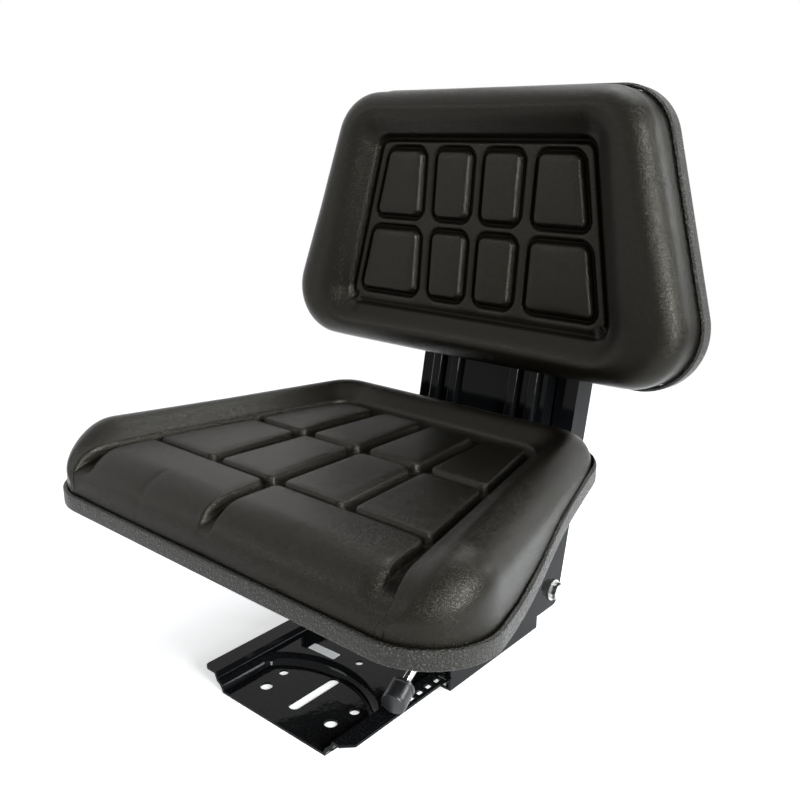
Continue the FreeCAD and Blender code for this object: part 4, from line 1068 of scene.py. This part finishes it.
def seat_cushion() -> SeatCushion:
    """Return the seat cushion with its measured places.

    Each pad is grown a little on every side, and the front pads' outer sides run straighter.

    Returns:
        The cushion, ready to build.
    """
    grow = 0.0035
    row_start = -0.132
    centre = Line(0.009 - grow, 0.0)
    inner_end = Line(0.073 + 0.091 * row_start + grow, 0.091)
    outer_start = Line(0.0896 + 0.074 * row_start - grow, 0.074)
    outer_end = Line(0.1626 + 0.236 * row_start + grow, 0.236)
    straighter = 0.11
    front_end = Line(outer_end.start + 0.14 * straighter - 0.001, outer_end.taper - straighter)
    pads = [Pad(centre, front_end, -0.5, -0.141 + grow)]
    for low, high in ((row_start - grow, -0.038 + grow), (-0.027 - grow, 0.067 + grow)):
        pads += [Pad(centre, inner_end, low, high), Pad(outer_start, outer_end, low, high)]
    outline = SEAT_RIM.set_in(SKIN_INSET)
    return SeatCushion(
        name="seat_cushion_skin", node="seat_cushion", place=Matrix.Identity(4), outline=outline,
        pads=pads, guides=[(centre, inner_end), (outer_start, outer_end)],
        field_side=outer_end.moved(0.009 - grow), field_ends=(outline.low + 0.00007, 0.078),
        field_radius=0.02, field_height=0.23, groove=0.009, bottom=0.172, swell=0.0016)


def backrest_place() -> Matrix:
    """Return the backrest's frame: across, up its face, and forward from it."""
    tilt = math.radians(5.0)
    across = Vector((1.0, 0.0, 0.0))
    upward = Vector((0.0, math.sin(tilt), math.cos(tilt)))
    forward = Vector((0.0, -math.cos(tilt), math.sin(tilt)))
    place = Matrix((across, upward, forward)).transposed().to_4x4()
    place.translation = (0.0, 0.1334, 0.3376)
    return place


def backrest_cushion() -> BackrestCushion:
    """Return the backrest cushion with its measured places."""
    low, high = -0.008, 0.169
    field_taper = (0.162 - 0.127) / (high - low)
    columns = ((Line(0.0082, 0.0), Line(0.0507, 0.0)), (Line(0.0689, 0.0), Line(0.146, 0.205)))
    pads = [Pad(inner, outer, low, high) for inner, outer in columns
            for low, high in ((0.0072, 0.0747), (0.0883, 0.1565))]
    return BackrestCushion(
        name="backrest_cushion_skin", node="backrest_cushion", place=backrest_place(),
        outline=BACKREST_RIM.set_in(SKIN_INSET), pads=pads, guides=list(columns),
        field_side=Line(0.162 + low * field_taper, field_taper), field_ends=(low, high),
        field_radius=0.014, field_height=0.008, groove=0.008, bottom=-0.0305, swell=0.002,
        land=0.56, pad_roll=0.004, pad_corner=0.0085)


# Edging, with its bead

@dataclass
class Edging:
    """Grained edging round a cushion: the CAD strip with rounded edges, and a bead on top."""

    node: str
    outline: Outline
    place: Matrix
    top: float
    edge_radius: float = 0.0013
    bead_radius: float = 0.0011

    def top_at(self, b: float) -> float:
        """Return the height of the strip's top edge at b."""
        return self.top

    def strip(self) -> Object:
        """Copy the CAD strip, merge its loose triangles and round its edges."""
        piece = bpy.data.objects.new(self.node + "_strip", frame["nodes"][self.node].data.copy())
        bpy.context.scene.collection.objects.link(piece)
        apply_modifier(piece, "WELD", merge_threshold=0.00002)
        self.lower_top(piece)
        apply_modifier(piece, "BEVEL", width=self.edge_radius, segments=3, limit_method="ANGLE",
                       angle_limit=math.radians(50.0))
        shade_smooth(piece, 50.0)
        return piece

    def lower_top(self, piece: Object) -> None:
        """Leave the strip's top edge where it is, unless a kind of edging lowers it."""

    def bead(self) -> Object:
        """Lay a thin cord along the strip's top edge, all the way round.

        Returns:
            The cord as a mesh, in its place on the body.
        """
        right = self.outline.right_side(0.0, 0.0, 160)
        path = right + [(-a, b) for a, b in right[-2:0:-1]]
        curve = bpy.data.curves.new(self.node + "_bead", "CURVE")
        curve.dimensions = "3D"
        curve.bevel_depth = self.bead_radius
        curve.bevel_resolution = 3
        line = curve.splines.new("POLY")
        line.points.add(len(path) - 1)
        for point, (a, b) in zip(line.points, path):
            point.co = (a, b, self.top_at(b), 1.0)
        line.use_cyclic_u = True
        piece = bpy.data.objects.new(self.node + "_bead", curve)
        bpy.context.scene.collection.objects.link(piece)
        make_active(piece)
        bpy.ops.object.convert(target="MESH")
        piece = bpy.context.active_object
        piece.data.transform(self.place)
        shade_smooth(piece, 180.0)
        return piece

    def build(self, material: Material) -> None:
        """Model the strip and its bead and set them on their body."""
        for piece in (self.strip(), self.bead()):
            dress(piece, material)
            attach(piece, "carriage")
            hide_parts(self.node)
            LOG.info("%s has %d faces", piece.name, len(piece.data.polygons))


@dataclass
class SeatEdging(Edging):
    """The seat's edging, which rises towards the back."""

    lowered: float = 0.0045
    upper_from: float = 0.01

    def foot_at(self, b: np.ndarray) -> np.ndarray:
        """Return the height of the strip's lower edge at b."""
        return along_line(b, SeatCushion.trim_line)

    def top_at(self, b: float) -> float:
        """Return the height of the strip's top edge at b."""
        return float(self.foot_at(b)) + self.top - self.lowered

    def lower_top(self, piece: Object) -> None:
        """Bring the strip's top edge down, so that more of the vinyl's side shows."""
        points = read_points(piece)
        upper = points[:, 2] - self.foot_at(points[:, 1]) > self.upper_from
        points[upper, 2] -= self.lowered
        write_points(piece, points)


def seat_edging() -> SeatEdging:
    """Return the seat's edging, set round the seat's outline."""
    return SeatEdging("seat_trim", SEAT_RIM.set_in(BEAD_INSET), Matrix.Identity(4), 0.0198)


def backrest_edging() -> Edging:
    """Return the backrest's edging, set round its outline."""
    return Edging("backrest_trim", BACKREST_RIM.set_in(BEAD_INSET), backrest_place(), -0.0182)


# Small pieces

@dataclass
class LatchKnob:
    """Moulded grip on the latch rod: a flat chamfered face, a ring groove and a domed back."""

    back: tuple = (0.0934, -0.0728, 0.0463)
    bore_depth: float = 0.017
    edge_radius: float = 0.0003
    tilt_degrees: float = 14.0
    turn_degrees: float = 16.0
    profile: tuple = ((0.0, 0.0), (0.0094, 0.0), (0.0107, 0.0006), (0.0114, 0.002), (0.0115, 0.0035),
                      (0.0115, 0.0165), (0.0106, 0.0173), (0.0106, 0.0185), (0.0115, 0.0193),
                      (0.0115, 0.0222), (0.0098, 0.0248), (0.0075, 0.0275), (0.0062, 0.029), (0.0041, 0.029))

    def grip(self) -> Object:
        """Turn the profile round its own axis and close the bore for the rod.

        Returns:
            The closed grip, along z from its front face.
        """
        points = [(radius, 0.0, length) for radius, length in self.profile]
        edges = [(number, number + 1) for number in range(len(points) - 1)]
        piece = mesh_piece("latch_knob_grip", points, [], edges)
        apply_modifier(piece, "SCREW", steps=64, render_steps=64, use_merge_vertices=True, axis="Z")
        make_active(piece)
        bpy.ops.object.mode_set(mode="EDIT")
        bpy.ops.mesh.select_all(action="SELECT")
        bpy.ops.mesh.remove_doubles(threshold=TOUCHING)
        bpy.ops.mesh.select_all(action="DESELECT")
        bpy.ops.mesh.select_non_manifold(extend=False)
        bpy.ops.mesh.extrude_region_move(TRANSFORM_OT_translate={"value": (0.0, 0.0, -self.bore_depth)})
        bpy.ops.mesh.edge_face_add()
        bpy.ops.mesh.select_all(action="SELECT")
        bpy.ops.mesh.normals_make_consistent(inside=False)
        bpy.ops.object.mode_set(mode="OBJECT")
        return piece

    def build(self, material: Material) -> Object:
        """Set the grip in its place on the latch rod.

        Args:
            material: The knob's plastic.

        Returns:
            The finished piece, which stands for the CAD knob.
        """
        piece = self.grip()
        turn = (Matrix.Rotation(math.radians(self.turn_degrees), 3, "Z")
                @ Matrix.Rotation(math.radians(self.tilt_degrees - 90), 3, "X"))
        piece.rotation_euler = turn.to_euler()
        piece.location = Vector(self.back) - turn @ Vector((0.0, 0.0, self.profile[-1][1]))
        apply_place(piece)
        apply_modifier(piece, "BEVEL", width=self.edge_radius, segments=2, limit_method="ANGLE",
                       angle_limit=math.radians(25.0))
        shade_smooth(piece, 30.0)
        dress(piece, material)
        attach(piece, "latch")
        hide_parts("latch_knob")
        LOG.info("%s has %d faces", piece.name, len(piece.data.polygons))
        return piece


@dataclass
class BaseLabel:
    """Bare white film label, stuck on the band between the bays of the base."""

    middle: tuple = (-0.033, -0.049)
    size: tuple = (0.034, 0.0105)
    thickness: float = 0.00025
    corner: float = 0.0012
    turn_degrees: float = 3.4
    surface: float = 0.012

    def build(self, material: Material) -> Object:
        """Model the label and set it on the base.

        Args:
            material: The label's film.

        Returns:
            The finished piece, which is only in this script.
        """
        deselect_all()
        bpy.ops.mesh.primitive_plane_add(size=1.0, location=(*self.middle, self.surface))
        piece = bpy.context.active_object
        piece.name = "base_label"
        piece.scale = (*self.size, 1.0)
        piece.rotation_euler.z = math.radians(self.turn_degrees)
        apply_place(piece)
        bpy.ops.object.mode_set(mode="EDIT")
        bpy.ops.mesh.select_all(action="SELECT")
        bpy.ops.mesh.bevel(offset=self.corner, segments=4, affect="VERTICES")
        bpy.ops.mesh.extrude_region_move(TRANSFORM_OT_translate={"value": (0.0, 0.0, self.thickness)})
        bpy.ops.mesh.select_all(action="SELECT")
        bpy.ops.mesh.normals_make_consistent(inside=False)
        bpy.ops.object.mode_set(mode="OBJECT")
        dress(piece, material)
        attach(piece, "base")
        LOG.info("%s is on the base", piece.name)
        return piece


# Studio

@dataclass(frozen=True)
class Lamp:
    """One soft rectangular lamp: its place, its width and height, and its power in watts."""

    name: str
    place: tuple
    size: tuple
    power: float


LAMPS = (Lamp("window", (2.1, -0.6, 1.0), (0.6, 1.7), 100.0),
         Lamp("side", (1.7, 1.6, 1.2), (0.9, 0.6), 24.0),
         Lamp("ceiling", (-0.05, 0.75, 2.1), (1.2, 0.9), 24.0),
         Lamp("front", (-1.4, -1.7, 1.35), (0.8, 0.6), 7.0))


@dataclass
class Studio:
    """Plain floor, soft lamps, pale world and the photograph's camera."""

    eye: tuple = (0.5274, -0.5957, 0.5043)
    yaw_degrees: float = 40.31
    pitch_degrees: float = 16.42
    roll_degrees: float = 0.5
    focal_pixels: float = 887.0
    picture_pixels: float = 800.0
    sensor: float = 36.0
    world_light: float = 0.12
    daylight: tuple = (0.93, 0.975, 1.0)
    lit_point: tuple = (0.0, 0.0, 0.3)
    floor_size: float = 5.0
    floor_clear: tuple = (0.55, 1.5)
    floor_lift: float = 0.6
    floor_colour: tuple = (0.9, 0.9, 0.9, 1.0)

    def camera(self) -> None:
        """Place the camera as it was fitted to the photograph."""
        data = bpy.data.cameras.new("camera")
        data.sensor_width = self.sensor
        data.lens = self.focal_pixels / self.picture_pixels * self.sensor
        eye = bpy.data.objects.new("camera", data)
        turn = (Matrix.Rotation(math.radians(self.yaw_degrees), 3, "Z")
                @ Matrix.Rotation(math.radians(90 - self.pitch_degrees), 3, "X")
                @ Matrix.Rotation(math.radians(self.roll_degrees), 3, "Z"))
        eye.rotation_euler = turn.to_euler()
        eye.location = self.eye
        bpy.context.scene.collection.objects.link(eye)
        bpy.context.scene.camera = eye

    def hang(self, lamp: Lamp) -> None:
        """Hang one lamp so that it looks at the middle of the seat."""
        data = bpy.data.lights.new(lamp.name, "AREA")
        data.shape = "RECTANGLE"
        data.size, data.size_y = lamp.size
        data.energy = lamp.power
        data.color = self.daylight
        hung = bpy.data.objects.new(lamp.name, data)
        hung.visible_camera = False
        hung.location = lamp.place
        aim = Vector(self.lit_point) - Vector(lamp.place)
        hung.rotation_euler = aim.to_track_quat("-Z", "Y").to_euler()
        bpy.context.scene.collection.objects.link(hung)

    def looked_at(self, tree: NodeTree) -> NodeSocket:
        """Return 1 where a surface is seen by the camera, in a reflection or through glass."""
        path = add_node(tree, "ShaderNodeLightPath").outputs
        total = add_math(tree, "MAXIMUM", path["Is Camera Ray"], path["Is Glossy Ray"])
        return add_math(tree, "MAXIMUM", total, path["Is Transmission Ray"])

    def world(self) -> None:
        """White where the camera looks past the object, pale grey as a light."""
        world = bpy.data.worlds.new("studio")
        world.use_nodes = True
        tree = world.node_tree
        bpy.context.scene.world = world
        seen = add_node(tree, "ShaderNodeMapRange",
                        {"Value": self.looked_at(tree), "To Min": self.world_light, "To Max": 1.0})
        background = tree.nodes["Background"]
        background.inputs["Color"].default_value = WHITE
        tree.links.new(seen.outputs["Result"], background.inputs["Strength"])

    def floor(self) -> None:
        """A wide pale floor that fades into the white background."""
        deselect_all()
        bpy.ops.mesh.primitive_plane_add(size=self.floor_size)
        floor = bpy.context.active_object
        floor.name = "studio_floor"
        made = Surface("studio_floor")
        made.set(Base_Color=self.floor_colour, Roughness=0.9, Specular_IOR_Level=0.1,
                 Emission_Color=WHITE)
        made.ranged(self.looked_at(made.tree), "Emission Strength", 0.0, self.floor_lift)
        length = add_node(made.tree, "ShaderNodeVectorMath", {0: own_place(made.tree)}, operation="LENGTH")
        near, far = self.floor_clear
        fade = add_node(made.tree, "ShaderNodeMapRange",
                        {"Value": length.outputs["Value"], "From Min": near, "From Max": far,
                         "To Min": 1.0, "To Max": 0.0}, interpolation_type="SMOOTHSTEP")
        made.feed(fade.outputs["Result"], "Alpha")
        dress(floor, made.material)

    def build(self) -> None:
        """Set up the whole studio."""
        bpy.context.scene.view_settings.view_transform = "Standard"
        self.camera()
        self.world()
        self.floor()
        for lamp in LAMPS:
            self.hang(lamp)


def main() -> None:
    """Build the scene's pieces in order."""
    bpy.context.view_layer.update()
    materials = finishes()
    dress_frame(materials)
    Studio().build()
    seat_cushion().build(materials[Finish.BLACK_VINYL])
    backrest_cushion().build(materials[Finish.BLACK_VINYL])
    seat_edging().build(materials[Finish.EDGING])
    backrest_edging().build(materials[Finish.EDGING])
    LatchKnob().build(materials[Finish.KNOB])
    BaseLabel().build(materials[Finish.LABEL])


if __name__ == "__main__":
    logging.basicConfig(level=logging.INFO, format="%(name)s: %(message)s")
    main()
